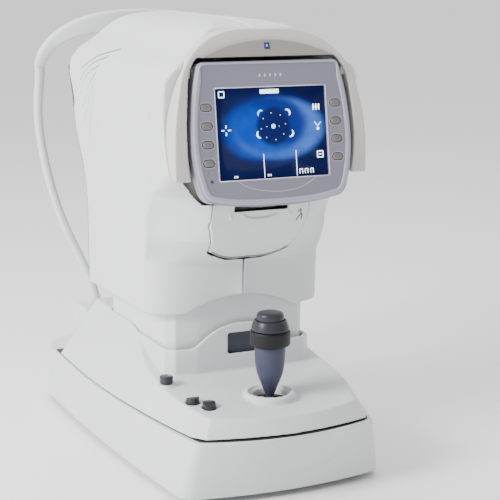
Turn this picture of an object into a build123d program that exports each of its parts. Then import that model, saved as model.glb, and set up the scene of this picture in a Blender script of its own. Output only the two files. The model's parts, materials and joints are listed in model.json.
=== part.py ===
"""Autorefractor: a table-top eye-measuring instrument, built as separate pieces.

Frame, in millimetres: the origin is on the floor under the middle of the instrument,
+X is the operator's right, -Y points to the operator and the display, +Y points to
the patient and the face rest, and +Z is up.
"""
import os
from math import cos, radians, sin, tan

from build123d import *

# ---------------------------------------------------------------- driving sizes
WIDTH = 260
DEPTH = 495
HEIGHT = 457
WALL = 3                     # thickness of the moulded shells
GAP = 0.5                    # play between neighbours that move apart
RUNNING = 0.05               # radial play of a shaft in its bush
RIM_Z = 64                   # top of the base casing
TOP_PLATE_Z = 65.2           # top of the black plate under the moving stage
DECK_Z = 66.2                # underside of the deck
DECK_REAR = 115
COLLAR_TOP = 124
COLLAR_HALF = 82
SIDE_DRAFT = tan(radians(36))

HEAD_HALF = 105
HEAD_BOTTOM = 160
EYE_HEIGHT = 330             # height of the measuring axis

DISPLAY_TILT = 9
DISPLAY_Z = 352              # height of the middle of the screen
DISPLAY_Y = -187
SCREEN = (115.2, 86.4)       # active area of a 5.7 in panel
KEY_X = 68
KEY_PITCH = 17.5

JOYSTICK_Y = -186
PIVOT_Z = 76

CHIN_Y = 172
ARCH_SPREAD = 111            # half distance between the legs of the face rest


# ---------------------------------------------------------------- helpers
def drawn_in(runs, inset):
    """The same closed runs, which go anticlockwise, with every point moved inwards."""
    loop = [Vector(*point) for run in runs for point in run[:-1]]
    moved = []
    for i, here in enumerate(loop):
        before = (here - loop[i - 1]).normalized()
        after = (loop[(i + 1) % len(loop)] - here).normalized()
        inwards = Vector(-before.Y - after.Y, before.X + after.X)
        step = inwards * (inset / (1 + before.dot(after)))
        moved.append((here.X + step.X, here.Y + step.Y))
    result = []
    start = 0
    for run in runs:
        places = range(start, start + len(run))
        result.append([moved[place % len(moved)] for place in places])
        start += len(run) - 1
    return result


def outline(*runs, inset=0):
    """A closed face: a run of two points is straight, a longer one is a smooth curve."""
    if inset:
        runs = drawn_in(runs, inset)
    edges = []
    for run in runs:
        edges.append(Line(*run) if len(run) == 2 else Spline(*run))
    return make_face(edges)


def symmetric(*runs, inset=0):
    """A closed face from the runs of its right half, from the bottom middle to the top middle."""
    left = [[(-a, b) for a, b in reversed(run)] for run in reversed(runs)]
    return outline(*runs, *left, inset=inset)


def mirrored(points):
    """An outline symmetric in its first coordinate, from its right half."""
    left = [(-a, b) for a, b in reversed(points) if a > 0]
    return points + left


def as_face(shape):
    return make_face(Polyline(*shape, close=True)) if isinstance(shape, list) else shape


def side_prism(shape, x0, x1):
    """Outline in Y, Z, a list of corners or a face, pushed from x0 to x1."""
    face = as_face(shape)
    return extrude(Plane.YZ.offset(x0) * face, x1 - x0)


def front_prism(shape, y0, y1):
    """Outline in X, Z pushed from y0 to y1."""
    face = as_face(shape)
    return extrude(Plane.XZ.offset(-y0) * face, y0 - y1)


def plan_prism(shape, z0, z1):
    """Outline in X, Y pushed from z0 to z1."""
    face = as_face(shape)
    return extrude(Plane.XY.offset(z0) * face, z1 - z0)


def block(x0, x1, y0, y1, z0, z1):
    return Pos((x0 + x1) / 2, (y0 + y1) / 2, (z0 + z1) / 2) * Box(x1 - x0, y1 - y0, z1 - z0)


def upright(x, y, z0, z1, radius):
    return Pos(x, y, (z0 + z1) / 2) * Cylinder(radius, z1 - z0)


def rod_x(x0, x1, y, z, radius):
    return Pos((x0 + x1) / 2, y, z) * Rot(0, 90, 0) * Cylinder(radius, abs(x1 - x0))


def rod_y(x, y0, y1, z, radius):
    return Pos(x, (y0 + y1) / 2, z) * Rot(90, 0, 0) * Cylinder(radius, y1 - y0)


def both_sides(make):
    """The piece that make(side) builds, on the left and on the right."""
    return make(-1) + make(1)


def turned(points, x, y):
    """A solid of revolution about the upright line through x, y."""
    outline = make_face(Polyline(*points, close=True))
    return Pos(x, y, 0) * revolve(Plane.XZ * outline, Axis.Z)


# ---------------------------------------------------------------- base
def casing_face(z, front, corner, side, wide, rear, front_round, rear_round, inset=0):
    """One level of the base casing: bowed front, bowed sides and a flat rear."""
    corner = (corner[0] - inset, corner[1] + inset)
    side = (side[0] - inset, side[1])
    wide = (wide[0] - inset, wide[1])
    rear_corner = (wide[0] + 1, rear - inset)

    def left(point):
        return (-point[0], point[1])

    edges = [
        ThreePointArc(left(corner), (0, front + inset), corner),
        ThreePointArc(corner, side, wide),
        Line(wide, rear_corner),
        Line(rear_corner, left(rear_corner)),
        Line(left(rear_corner), left(wide)),
        ThreePointArc(left(wide), left(side), left(corner)),
    ]
    face = make_face(edges)
    by_depth = face.vertices().sort_by(Axis.Y)
    face = fillet(by_depth[:2], front_round)
    face = fillet(face.vertices().sort_by(Axis.Y)[-2:], rear_round)
    return Pos(0, 0, z) * face


def casing_floor(z, inset=0):
    return casing_face(z, -234.5, (108, -221), (120, -100), (129, 60), 210, 18, 60, inset)


def casing_rim(z, inset=0):
    return casing_face(z, -DEPTH / 2, (95, -229), (112, -140), (128, 30), 204, 10, 56, inset)


BASE_FLOOR = 5.5
SOCKET_BOX = (-62, 62, 190, 220, 14, 52)


def base_cover():
    outer = loft([casing_floor(BASE_FLOOR), casing_rim(RIM_Z)], ruled=True)
    inner = loft([casing_floor(BASE_FLOOR - 1, WALL), casing_rim(RIM_Z - WALL, WALL)], ruled=True)
    shell = outer - inner
    shell -= block(*SOCKET_BOX)
    shell -= upright(0, CHIN_Y, RIM_Z - 10, RIM_Z + 1, 24)
    return shell


def base_plate():
    plate = extrude(casing_floor(BASE_FLOOR, WALL + 0.9), WALL)
    for x, y in FOOT_PLACES:
        plate -= upright(x, y, 0, 20, 2.5)
    return plate


FOOT_PLACES = [(-86, -195), (86, -195), (-88, 150), (88, 150)]
FOOT_RADIUS = 12


def rubber_feet():
    feet = []
    for x, y in FOOT_PLACES:
        pad = upright(x, y, 0, BASE_FLOOR, FOOT_RADIUS)
        pad = chamfer(pad.edges().group_by(Axis.Z)[0], 1)
        feet.append(pad - upright(x, y, 2, 10, 2.5))
    return Compound(children=feet)


RAIL_X = 44
RAIL_Z = 75
RAIL_RADIUS = 4
RAIL_END = 88


def base_top_plate():
    plate = extrude(casing_rim(RIM_Z, 4), TOP_PLATE_Z - RIM_Z)
    plate -= block(-WIDTH, WIDTH, 139.5, 230, 0, HEIGHT)
    for x in (-RAIL_X, RAIL_X):
        for y in (-RAIL_END + 4, RAIL_END - 4):
            plate += block(x - 7, x + 7, y - 4, y + 4, RIM_Z + 0.5, RAIL_Z + 6)
        plate -= rod_y(x, -RAIL_END - 1, RAIL_END + 1, RAIL_Z, RAIL_RADIUS)
    return plate


def y_rails():
    return Compound(children=[
        rod_y(x, -RAIL_END, RAIL_END, RAIL_Z, RAIL_RADIUS) for x in (-RAIL_X, RAIL_X)])


def power_supply():
    box = block(-95, -25, 10, 130, 9.5, 46)
    slots = [block(-96, -24, y, y + 3, 30, 50) for y in range(24, 120, 9)]
    foot = block(-99, -21, 14, 126, 8.5, 10.5)
    for slot in slots:
        box -= slot
    return box + foot


def connector_panel():
    x0, x1, y0, y1, z0, z1 = SOCKET_BOX
    outer = block(x0, x1, y0, 203, z0, z1)
    hollow = block(x0 + 2, x1 - 2, y0 + 2, 210, z0 + 2, z1 - 2)
    panel = outer - hollow
    panel -= block(*INLET_BODY)
    panel -= block(*SWITCH_HOLE)
    panel -= rod_x(-22, -4, *SWITCH_PIN, 0.7 + RUNNING)
    for x in (16, 42):
        panel += block(x - 9, x + 9, y0, y0 + 6, 26, 40)
        panel -= block(x - 7.5, x + 7.5, y0 + 3, y0 + 7, 27.5, 38.5)
    return panel


INLET_BODY = (-56, -28, 176, 198, 22.5, 42.5)
SWITCH_HOLE = (-20, -6, 180, 196, 22, 44)
SWITCH_PIN = (191, 33)


def mains_inlet():
    x0, x1, y0, y1, z0, z1 = INLET_BODY
    body = block(x0 + 0.1, x1 - 0.1, y0, y1, z0 + 0.1, z1 - 0.1)
    mouth = [(-12, 24.5), (12, 24.5), (12, 36), (7.5, 40.5), (-7.5, 40.5), (-12, 36)]
    body -= Pos((x0 + x1) / 2, 0, 0) * front_prism(mouth, y0 + 4, y1 + 1)
    for dx, z in ((-7, 30), (7, 30), (0, 34.5)):
        x = (x0 + x1) / 2 + dx
        body += block(x - 1, x + 1, y0 + 3, y1 - 4, z - 2.5, z + 2.5)
    return body


def power_switch():
    """A rocker that turns on a pin along X, in the middle of its hole."""
    x0, x1, _, _, z0, z1 = SWITCH_HOLE
    rocker = side_prism(
        [(186, z0 + 2), (193, z0 + 1), (197.5, z0 + 1), (195, SWITCH_PIN[1]), (195.5, z1 - 1),
         (193, z1 - 1), (186, z1 - 2)], x0 + 1, x1 - 1)
    return rocker + rod_x(-21.5, -4.5, *SWITCH_PIN, 0.7)


BLOCK_FRONT = 140
BLOCK_TOP = 108


def face_rest_block():
    """Housing behind the stage that carries the face rest and the chin rest."""
    points = [(BLOCK_FRONT, RIM_Z), (BLOCK_FRONT, 100), (BLOCK_FRONT + 8, BLOCK_TOP),
              (184, BLOCK_TOP), (198, 98), (201, RIM_Z)]
    solid = side_prism(points, -86, 86)
    solid = fillet(solid.edges().filter_by(Axis.Z), 4)
    inner = side_prism([(BLOCK_FRONT + WALL, RIM_Z - 1), (BLOCK_FRONT + WALL, 99),
                        (BLOCK_FRONT + 9, BLOCK_TOP - WALL), (183, BLOCK_TOP - WALL),
                        (195, 97), (198, RIM_Z - 1)], -83, 83)
    solid -= inner
    solid -= upright(0, CHIN_Y, 90, 120, CHIN_STEM + GAP)
    for side in (-1, 1):
        solid -= block(side * 63 - 10.5, side * 63 + 10.5, CHIN_Y - 11, CHIN_Y + 19, 100, 120)
    return solid


CHIN_STEM = 10


def chin_motor():
    """Guide tube and geared motor that raise the chin rest."""
    tube = upright(0, CHIN_Y, 12, 104, CHIN_STEM + 4)
    tube += block(-30, 30, CHIN_Y - 18, CHIN_Y + 18, 8.5, 14)
    tube -= upright(0, CHIN_Y, 0, 120, CHIN_STEM + RUNNING)
    motor = upright(24, CHIN_Y, 14, 58, 9)
    return tube + motor


HOOP_PATH = [                # x, y, z of the middle line, then width and depth of the band
    (62, 174, 98, 11, 16),
    (66, 184, 128, 9.5, 15),
    (78, 200, 166, 9, 14),
    (92, 216, 206, 9, 14),
    (103, 230, 254, 9, 14),
    (109.5, 238.5, 300, 9, 14),
    (ARCH_SPREAD, 240.3, 345, 9.5, 14),
    (ARCH_SPREAD + 0.5, 228, 389, 12.5, 12),
    (104, 212, 413, 15, 11),
    (84, 197, 430, 19, 10.5),
    (54, 186.5, 439.5, 24, 10),
    (0, 181, 443, 27, 10),
]
HOOP_SEAM = 7                # place in the list where the brow band starts


def band_section(path, i):
    """A rounded section across the path, wide across it and deep towards the patient."""
    here = path[i]
    before = Vector(*path[max(i - 1, 0)][:3])
    after = Vector(*path[min(i + 1, len(path) - 1)][:3])
    along = (after - before).normalized()
    deep = Vector(0, 1, 0)
    deep = (deep - along * deep.dot(along)).normalized()
    plane = Plane(origin=here[:3], x_dir=deep.cross(along), z_dir=along)
    return plane * RectangleRounded(here[3], here[4], min(here[3:]) * 0.38)


def hoop(side):
    """The whole path from one foot over the brow to the other, starting at the given side."""
    half = [(side * x, y, z, w, d) for x, y, z, w, d in HOOP_PATH]
    return half + [(-x, y, z, w, d) for x, y, z, w, d in reversed(half[:-1])]


def face_rest_frame():
    legs = both_sides(lambda side: loft(
        [band_section(hoop(side), i) for i in range(HOOP_SEAM + 1)]))
    bridge = block(-74, 74, CHIN_Y + 15, CHIN_Y + 19, 72, 96)
    sockets = both_sides(lambda side: block(
        side * 62 - 8, side * 62 + 8, CHIN_Y - 8, CHIN_Y + 16, 72, 104))
    return legs + bridge + sockets


def forehead_arch():
    path = hoop(1)
    return loft([band_section(path, i) for i in range(HOOP_SEAM, len(path) - HOOP_SEAM)])


def forehead_pad():
    """Soft strip on the patient's side of the brow band."""
    bar = block(-42, 42, 183, 194, 433, 452)
    bar = fillet(bar.edges().filter_by(Axis.Y), 6)
    return bar - forehead_arch()


SCREW_PLACES = [(-60, -205), (60, -205), (-108, 20), (108, 20), (-50, 165), (50, 165)]


def case_screws():
    """Screws that hold the bottom plate to the casing."""
    screws = []
    for x, y in SCREW_PLACES:
        head = upright(x, y, BASE_FLOOR - 2.2, BASE_FLOOR, 3.5)
        head -= block(x - 3, x + 3, y - 0.4, y + 0.4, 0, BASE_FLOOR - 1.2)
        screws.append(head)
    return Compound(children=screws)


# ---------------------------------------------------------------- carriage
BUSH_Y = 45
X_ROD_Y = 30
X_ROD_Z = 92
X_ROD_END = 91


def carriage_frame():
    """Cross slide: runs on the two fixed rails and carries the stage's rods."""
    frame = block(-56, 56, -56, 56, 83.5, 86)
    frame -= block(-30, 30, -18, 18, 80, 90)
    for x in (-RAIL_X, RAIL_X):
        for y in (-BUSH_Y, BUSH_Y):
            frame += block(x - 8, x + 8, y - 10, y + 10, RAIL_Z - 7.5, 84)
        frame -= rod_y(x, -90, 90, RAIL_Z, RAIL_RADIUS + RUNNING)
    for y in (-X_ROD_Y, X_ROD_Y):
        for x in (-28, 28):
            frame += block(x - 10, x + 10, y - 6, y + 6, 85.5, X_ROD_Z + 4.8)
        frame -= rod_x(-90, 90, y, X_ROD_Z, 3 + RUNNING)
    return frame


def x_rods():
    return Compound(children=[
        rod_x(-X_ROD_END, X_ROD_END, y, X_ROD_Z, 3) for y in (-X_ROD_Y, X_ROD_Y)])


# ---------------------------------------------------------------- stage
STAGE_PLATE_Z = 98


def stage_plate():
    plate = block(-88, 88, -62, 88, STAGE_PLATE_Z, STAGE_PLATE_Z + 3)
    for side in (-1, 1):
        for y in (-X_ROD_Y, X_ROD_Y):
            plate += block(side * 88 - 3, side * 88 + 3, y - 6, y + 6, X_ROD_Z - 5, STAGE_PLATE_Z + 1)
    for y in (-X_ROD_Y, X_ROD_Y):
        plate -= rod_x(-100, 100, y, X_ROD_Z, 3)
    for side in (-1, 1):
        plate += upright(side * LIFT_ROD_X, LIFT_Y, STAGE_PLATE_Z + 2, 112, 11)
        plate -= upright(side * LIFT_ROD_X, LIFT_Y, STAGE_PLATE_Z + 1, 120, LIFT_ROD)
    return plate


LIFT_ROD = 6
LIFT_ROD_X = 38
LIFT_Y = 30
LIFT_SCREW = 4


def lift_rods():
    return Compound(children=[
        upright(x, LIFT_Y, STAGE_PLATE_Z + 1, 252, LIFT_ROD) for x in (-LIFT_ROD_X, LIFT_ROD_X)])


def lift_motor():
    motor = block(-21, 21, LIFT_Y - 21, LIFT_Y + 21, STAGE_PLATE_Z + 3, 141)
    motor = chamfer(motor.edges().filter_by(Axis.Z), 4)
    return motor - upright(0, LIFT_Y, 130, 150, 5)


def lift_screw():
    screw = upright(0, LIFT_Y, 132, 235, LIFT_SCREW)
    return screw + upright(0, LIFT_Y, 142, 145, 7)


def deck_level(z, rise=0, inset=0):
    """The deck's outline at a level, drawn in by the slope of its sides."""
    pull = rise * SIDE_DRAFT + inset
    front = -244 + rise * 0.5 + inset
    nose = (87 - pull * 0.7, front + 15)
    cheek = (97 - pull, front + 29)
    rear_half = 127.5 - pull
    side = [cheek, (104.5 - pull, -180), (119 - pull, -90), (126 - pull, -15), (rear_half, 60)]
    return Pos(0, 0, z) * symmetric([(0, front), (46, front + 5), nose], [nose, cheek], side,
                                    [(rear_half, 60), (rear_half, DECK_REAR - inset)],
                                    [(rear_half, DECK_REAR - inset), (0, DECK_REAR - inset)])


DECK_RISE = 62


def deck_profile(drop=0):
    """Side view of the deck: sloping top, then wings that sweep up beside the collar."""
    top = DECK_Z + DECK_RISE - drop
    crease = (-232, 83 - drop)
    foot = (-110, 97.4 - drop)
    wing = [foot, (-84, 101.5 - drop), (-62, 108.5 - drop), (-42, 118 - drop), (-24, top - 4), (-4, top)]
    return outline([(-260, DECK_Z - 1), (-260, 80 - drop)], [(-260, 80 - drop), crease], [crease, foot],
                   wing, [(-4, top), (DECK_REAR + 5, top)],
                   [(DECK_REAR + 5, top), (DECK_REAR + 5, DECK_Z - 1)],
                   [(DECK_REAR + 5, DECK_Z - 1), (-260, DECK_Z - 1)])


def collar_outline(inset=0):
    half = COLLAR_HALF - inset
    return mirrored([(0, -118 + inset), (50, -117.5 + inset), (half - 9, -114 + inset),
                     (half, -104 + inset), (half + 4, DECK_REAR - inset)])


def deck_cover():
    outer = loft([deck_level(DECK_Z), deck_level(DECK_Z + DECK_RISE, DECK_RISE)], ruled=True)
    outer &= side_prism(deck_profile(), -140, 140)
    inner = loft([deck_level(DECK_Z - 1, 0, WALL),
                  deck_level(DECK_Z + DECK_RISE - 1, DECK_RISE, WALL)], ruled=True)
    inner &= side_prism(deck_profile(WALL), -140, 140)
    collar = plan_prism(collar_outline(), 90, COLLAR_TOP)
    lip_edge = [(64, COLLAR_TOP), (55, 124.5), (44, 132), (30, 141), (14, 146.2), (0, 147.4)]
    lip = front_prism(symmetric([(0, 100), (64, 100)], [(64, 100), (64, COLLAR_TOP)], lip_edge),
                      -118, -114.5)
    lip &= plan_prism(collar_outline(), 90, 150)
    bore = plan_prism(collar_outline(WALL), 80, COLLAR_TOP + 20)
    shell = outer + collar + lip - inner
    shell -= bore & block(-130, 130, -114.5, 65, 92, 150)
    shell -= block(*READER_HOLE)
    boss = turned([(JOY_HOLE, 82), (26, 82), (26, 90.5), (25, 92.8), (21.5, 93.6), (21, 90),
                   (JOY_HOLE, 90)], 0, JOYSTICK_Y)
    shell -= upright(0, JOYSTICK_Y, 70, 110, JOY_HOLE)
    shell += boss
    knob_pad = upright(*KNOB_PLACE, 86, KNOB_PAD_Z, 9)
    shell += knob_pad
    shell -= upright(*KNOB_PLACE, 70, 110, 3 + GAP)
    for x, y in BUTTON_PLACES:
        shell -= upright(x, y, 70, 110, BUTTON_RADIUS + 0.4)
    return shell


READER_HOLE = (-16, 16, -125, -112, 115, 137)
JOY_HOLE = 18
KNOB_PLACE = (-90, -133)
KNOB_PAD_Z = 96.4
BUTTON_PLACES = [(-80, -179), (-69, -195)]
BUTTON_RADIUS = 6.5


def reader_window():
    x0, x1, _, _, z0, z1 = READER_HOLE
    pane = block(x0 - 2, x1 + 2, -113.5, -111.5, z0 - 2, z1 + 2)
    return pane + block(x0 + 0.3, x1 - 0.3, -115, -113, z0 + 0.3, z1 - 0.3)


def shroud_outline(inset=0):
    half = 77.5 - inset
    return mirrored([(0, -110 + inset), (45, -108.5 + inset), (half - 8, -105 + inset),
                     (half, -96 + inset), (half + 4.5, 56 - inset), (half - 2, 62 - inset)])


SHROUD_TOP = 196


def neck_shroud():
    """Skirt that closes the gap between the collar and the moving head."""
    skirt = plan_prism(shroud_outline(), 101.2, SHROUD_TOP)
    return skirt - plan_prism(shroud_outline(2.5), 100, SHROUD_TOP + 1)


def joystick_base():
    """Bracket under the deck that carries the joystick's gimbal."""
    plate = block(-24, 24, JOYSTICK_Y - 14, JOYSTICK_Y + 14, 67.2, 68.8)
    for side in (-1, 1):
        plate += block(side * 20 - 2, side * 20 + 2, JOYSTICK_Y - 6, JOYSTICK_Y + 6, 68, 82)
        plate -= rod_x(side * 17, side * 23, JOYSTICK_Y, PIVOT_Z, 1.5 + RUNNING)
    return plate


# ---------------------------------------------------------------- joystick
def joystick_gimbal():
    ring = upright(0, JOYSTICK_Y, PIVOT_Z - 3, PIVOT_Z + 3, 15)
    ring -= upright(0, JOYSTICK_Y, 60, 90, 11)
    ring += rod_x(-22, -13, JOYSTICK_Y, PIVOT_Z, 1.5)
    ring += rod_x(13, 22, JOYSTICK_Y, PIVOT_Z, 1.5)
    ring -= rod_y(0, JOYSTICK_Y - 16, JOYSTICK_Y + 16, PIVOT_Z, 1.5 + RUNNING)
    return ring


RING_BOTTOM = 141
RING_TOP = 156
RING_RADIUS = 20.2


def joystick_stem():
    profile = [(0, 72), (6, 72), (6, 79), (3.4, 81), (3.4, 87), (4.4, 89.5), (6.2, 94), (8.4, 100),
               (11.3, 107), (13.6, 114), (14.8, 123), (15.4, 133), (15.6, RING_BOTTOM - 0.4),
               (13, RING_BOTTOM - 0.4), (13, 159), (0, 159)]
    stem = turned(profile, 0, JOYSTICK_Y)
    stem += rod_y(0, JOYSTICK_Y - 14, JOYSTICK_Y - 5, PIVOT_Z, 1.5)
    return stem + rod_y(0, JOYSTICK_Y + 5, JOYSTICK_Y + 14, PIVOT_Z, 1.5)


def height_ring():
    """Grip ring: twisting it raises and lowers the head."""
    profile = [(13 + RUNNING, RING_BOTTOM), (19.2, RING_BOTTOM), (RING_RADIUS, RING_BOTTOM + 1.2),
               (RING_RADIUS, RING_TOP - 1.2), (19.4, RING_TOP), (13 + RUNNING, RING_TOP)]
    return turned(profile, 0, JOYSTICK_Y)


def joystick_collar():
    profile = [(13, RING_TOP + 0.4), (19, RING_TOP + 0.4), (19.2, 158), (18, 162), (16.6, 166),
               (15.2, 167), (14.2, 166.4), (14.2, 159), (13, 159)]
    return turned(profile, 0, JOYSTICK_Y)


def start_button():
    profile = [(0, 161.2), (13.8, 161.2), (13.8, 171), (13, 173), (10, 174.3), (5, 175), (0, 175.2)]
    return turned(profile, 0, JOYSTICK_Y)


# ---------------------------------------------------------------- deck controls
def deck_surface(y):
    return 83 + 0.118 * (y + 232)


def chin_button(place, lean):
    """Round cap with a wedge-cut top; lean is the heading of its low side."""
    x, y = place
    top = deck_surface(y)
    cap = upright(x, y, top - 8, top + 5.5, BUTTON_RADIUS)
    cutter = Pos(x, y, top + 5.5) * Rot(0, 0, lean) * Rot(0, 28, 0) * Pos(7, 0, 2.6) * Box(14, 20, 6)
    cap -= cutter
    return cap + upright(x, y, top - 8, top - 6, BUTTON_RADIUS + 2)


def chin_up_button():
    return chin_button(BUTTON_PLACES[0], 90)


def chin_down_button():
    return chin_button(BUTTON_PLACES[1], -90)


def lock_knob():
    """Round knob that locks the stage in place."""
    z = KNOB_PAD_Z + 0.4
    profile = [(0, z - 12), (3, z - 12), (3, z), (6.4, z), (6.9, z + 1.5), (6.3, z + 4), (7, z + 6.4),
               (6.4, z + 7.8), (0, z + 8.2)]
    return turned(profile, *KNOB_PLACE)


# ---------------------------------------------------------------- head
def head_side(inset=0):
    """Side view of the covers, from the chin over the top to the rear slope."""
    rear = [(70.5, 236), (74, 262), (88, 296), (107.5, 324), (118, 358), (134, 398), (137, 424),
            (130, 445), (113, 455), (92, HEIGHT)]
    top = [(-50, HEIGHT), (-100, 455), (-138, 450)]
    seam = [(-171, 413), (-162.5, 384), (-163, 350), (-176, 312)]
    chin = [(-176, 312), (-171, 300), (-166, 281), (-158, 258), (-147, 238), (-133, 224), (-121, 212)]
    return outline([(-120, HEAD_BOTTOM), (70, HEAD_BOTTOM)], [(70, HEAD_BOTTOM), rear[0]], rear,
                   [rear[-1], top[0]], top, [top[-1], seam[0]], seam, chin,
                   [chin[-1], (-120, HEAD_BOTTOM)], inset=inset)


def head_front(inset=0):
    """Front view of the covers: straight sides and a softly arched top."""
    top = HEIGHT - inset
    half = HEAD_HALF - inset
    low = HEAD_BOTTOM - 1
    shoulder = [(half, 350), (half - 0.6, 380), (half - 3, 402), (half - 13, 415), (half - 28, 425),
                (half - 44, 438), (half - 60, 449.5 - inset), (half - 80, top - 1.6), (0, top)]
    return symmetric([(0, low), (half, low)], [(half, low), (half, 350)], shoulder)


def head_level(z, inset, front, corner, shoulder, side):
    """One level of the covers: chin, slanted shoulder, then sides that widen to the rear."""
    bend = [(x - inset, y + inset) for x, y in (corner, shoulder, side)]
    rear_half = HEAD_HALF - inset
    flank = [bend[-1], (101 + (z - HEAD_BOTTOM) / 44 - inset, 0), (rear_half, 70)]
    return Pos(0, 0, z) * symmetric([(0, front + inset)] + bend, flank,
                                    [(rear_half, 70), (rear_half, 142)], [(rear_half, 142), (0, 142)])


def eased(values, t):
    """Cubic through the two middle values, with slopes from their neighbours."""
    a, b, c, d = values
    square = a - 2.5 * b + 2 * c - d / 2
    cube = 1.5 * (b - c) + (d - a) / 2
    return b + t * (c - a) / 2 + t ** 2 * square + t ** 3 * cube


def finer(levels, steps=3):
    """The same levels with smooth ones worked out between them."""
    flat = [[z, front, *corner, *shoulder, *side] for z, front, corner, shoulder, side in levels]
    result = [flat[0]]
    for i in range(len(flat) - 1):
        around = [flat[max(i - 1, 0)], flat[i], flat[i + 1], flat[min(i + 2, len(flat) - 1)]]
        count = 1 if i == 0 else steps
        for step in range(1, count + 1):
            t = step / count
            level = [eased(values, t) for values in zip(*around)]
            level[0] = flat[i][0] + t * (flat[i + 1][0] - flat[i][0])
            result.append(level)
    return [(z, front, (a, b), (c, d), (e, f)) for z, front, a, b, c, d, e, f in result]


def head_plan(inset=0):
    """Everything the covers may fill: narrow chin below, full width above."""
    levels = [
        (HEAD_BOTTOM - 2, -120, (70, -111), (82, -106), (97, -90)),
        (213, -121, (70, -112), (83, -106.5), (98, -91)),
        (224, -133, (46, -129), (72, -115), (99, -98)),
        (240, -150, (50, -146), (76, -124), (100, -104)),
        (262, -162, (56, -157), (80, -131), (101, -108)),
        (288, -170, (62, -165), (86, -146), (102, -127)),
        (304, -176, (70, -173), (92, -166), (102.3, -150)),
        (313, -184, (70, -182), (94, -176), (102.6, -160)),
    ]
    narrow = loft([head_level(z, inset, *rest) for z, *rest in finer(levels)], ruled=True)
    flank = [(102 - inset, -175), (104.5 - inset, -90), (HEAD_HALF - inset, 20)]
    rear = (HEAD_HALF - inset, 142)
    wide = plan_prism(symmetric([(0, -185), (102 - inset, -185)], [(102 - inset, -185), flank[0]], flank,
                                [flank[-1], rear], [rear, (0, 142)]), 312, HEIGHT)
    return narrow + wide


def head_solid(inset=0):
    body = side_prism(head_side(inset), -HEAD_HALF, HEAD_HALF)
    body &= front_prism(head_front(inset), -200, 160)
    return body & head_plan(inset)


COVER_SKIN = head_solid() - head_solid(WALL)

DOOR_UPPER = [(0, 281), (52, 281), (52.5, 258), (46, 238)]
DOOR_LOWER = [(44, 228), (23, 219.5), (20, 218.4), (0, 218)]


def door_cutter(side_play=0, low_play=0):
    """Outline of the printer door, pushed through the chin from the front."""
    points = [(x + (side_play if x else 0), z) for x, z in DOOR_UPPER]
    points += [(x + (side_play if x else 0), z - low_play) for x, z in DOOR_LOWER]
    return front_prism(mirrored(points), -200, -112)


REAR_OPENING = 92            # half width of the opening behind the rear panel


def head_shell():
    shell = COVER_SKIN - plan_prism(shroud_outline(-2.5), HEAD_BOTTOM - 5, HEAD_BOTTOM + 12)
    arch = make_face([ThreePointArc((-60, HEAD_BOTTOM), (0, 177), (60, HEAD_BOTTOM)),
                      Line((60, HEAD_BOTTOM), (60, 150)), Line((60, 150), (-60, 150)),
                      Line((-60, 150), (-60, HEAD_BOTTOM))])
    shell -= extrude(Plane.XZ.offset(130) * arch, -40)
    shell -= door_cutter(0.4, 2.6)
    shell -= front_prism(mirrored([(0, 281), (62, 281), (86, 306), (88, 372), (87, 408), (82, 417),
                                   (66, 428), (50, 438), (0, 440)]), -200, -140)
    shell -= front_prism(mirrored([(0, 172), (REAR_OPENING, 172), (REAR_OPENING, 396), (0, 396)]), 50, 160)
    return shell


SEAM = 0.15                  # half of the joint line between the two covers


def left_cover():
    return head_shell() & block(-120, -SEAM, -200, 160, 150, HEIGHT)


def right_cover():
    return head_shell() & block(SEAM, 120, -200, 160, 150, HEIGHT)


def hood():
    """Frame round the display, open at the front and at the bottom."""
    low = (-190.5, 309)
    seam = [(-172, 413), (-163.5, 384), (-164, 350), (-177, 312)]
    face = [low, (-189.5, 340), (-184, 385), (-175, 420), (-161, 449.5)]
    profile = outline(face, [face[-1], (-139, 450)], [(-139, 450), seam[0]], seam, [seam[-1], low])
    edge = symmetric([(0, 309), (101, 309)], [(101, 309), (101, 340)],
                     [(101, 340), (99, 366), (94.5, 390), (89, 409), (80, 424), (66, 436.5), (49, 445),
                      (26, 449.6), (0, 451)])
    opening = symmetric([(0, 300), (83, 300)],
                        [(83, 300), (87.5, 330), (88, 358), (85, 392), (80, 414), (72, 424)],
                        [(72, 424), (0, 424)])
    frame = side_prism(profile, -110, 110) & front_prism(edge, -200, -130)
    frame -= front_prism(opening, -210, -120)
    frame -= hood_inlay()
    for side in (-1, 1):
        frame += block(side * 73 - 10.5, side * 73 + 10.5, -164.5, -157, 404.5, 412)
        frame += block(side * 81.7 - 2.4, side * 81.7 + 2.4, -174, -157, 404.5, 412)
        frame -= rod_x(side * 60, side * 70, *HINGE_LINE, 2.5 + RUNNING)
    return frame


def hood_inlay():
    """Lens-shaped insert above the display."""
    arc = make_face([ThreePointArc((-70, 424), (0, 440), (70, 424)), Line((70, 424), (-70, 424))])
    lens = extrude(Plane.XZ.offset(195) * arc, -40)
    front = side_prism([(-178.6, 420), (-168.2, 446), (-166, 446), (-176.4, 420)], -75, 75)
    return lens & front


def rear_panel():
    """Dark plate that lies on the rear slope of the covers, round the measuring window."""
    half = HEAD_HALF - 1
    plate = side_prism(head_side(-4), -half, half) - side_prism(head_side(-0.4), -HEAD_HALF, HEAD_HALF)
    plate &= block(-half, half, 60, 140, 166, 397)
    return plate - rod_y(0, 60, 160, EYE_HEIGHT, 27)


WINDOW_Y = 104


def window_ring():
    tube = rod_y(0, WINDOW_Y, 124, EYE_HEIGHT, 26.5)
    tube = chamfer(tube.edges().filter_by(GeomType.CIRCLE).sort_by(Axis.Y)[-1], 3)
    return tube - rod_y(0, WINDOW_Y - 1, 130, EYE_HEIGHT, 19)


def window_glass():
    return rod_y(0, 116, 118, EYE_HEIGHT, 19)


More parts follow.
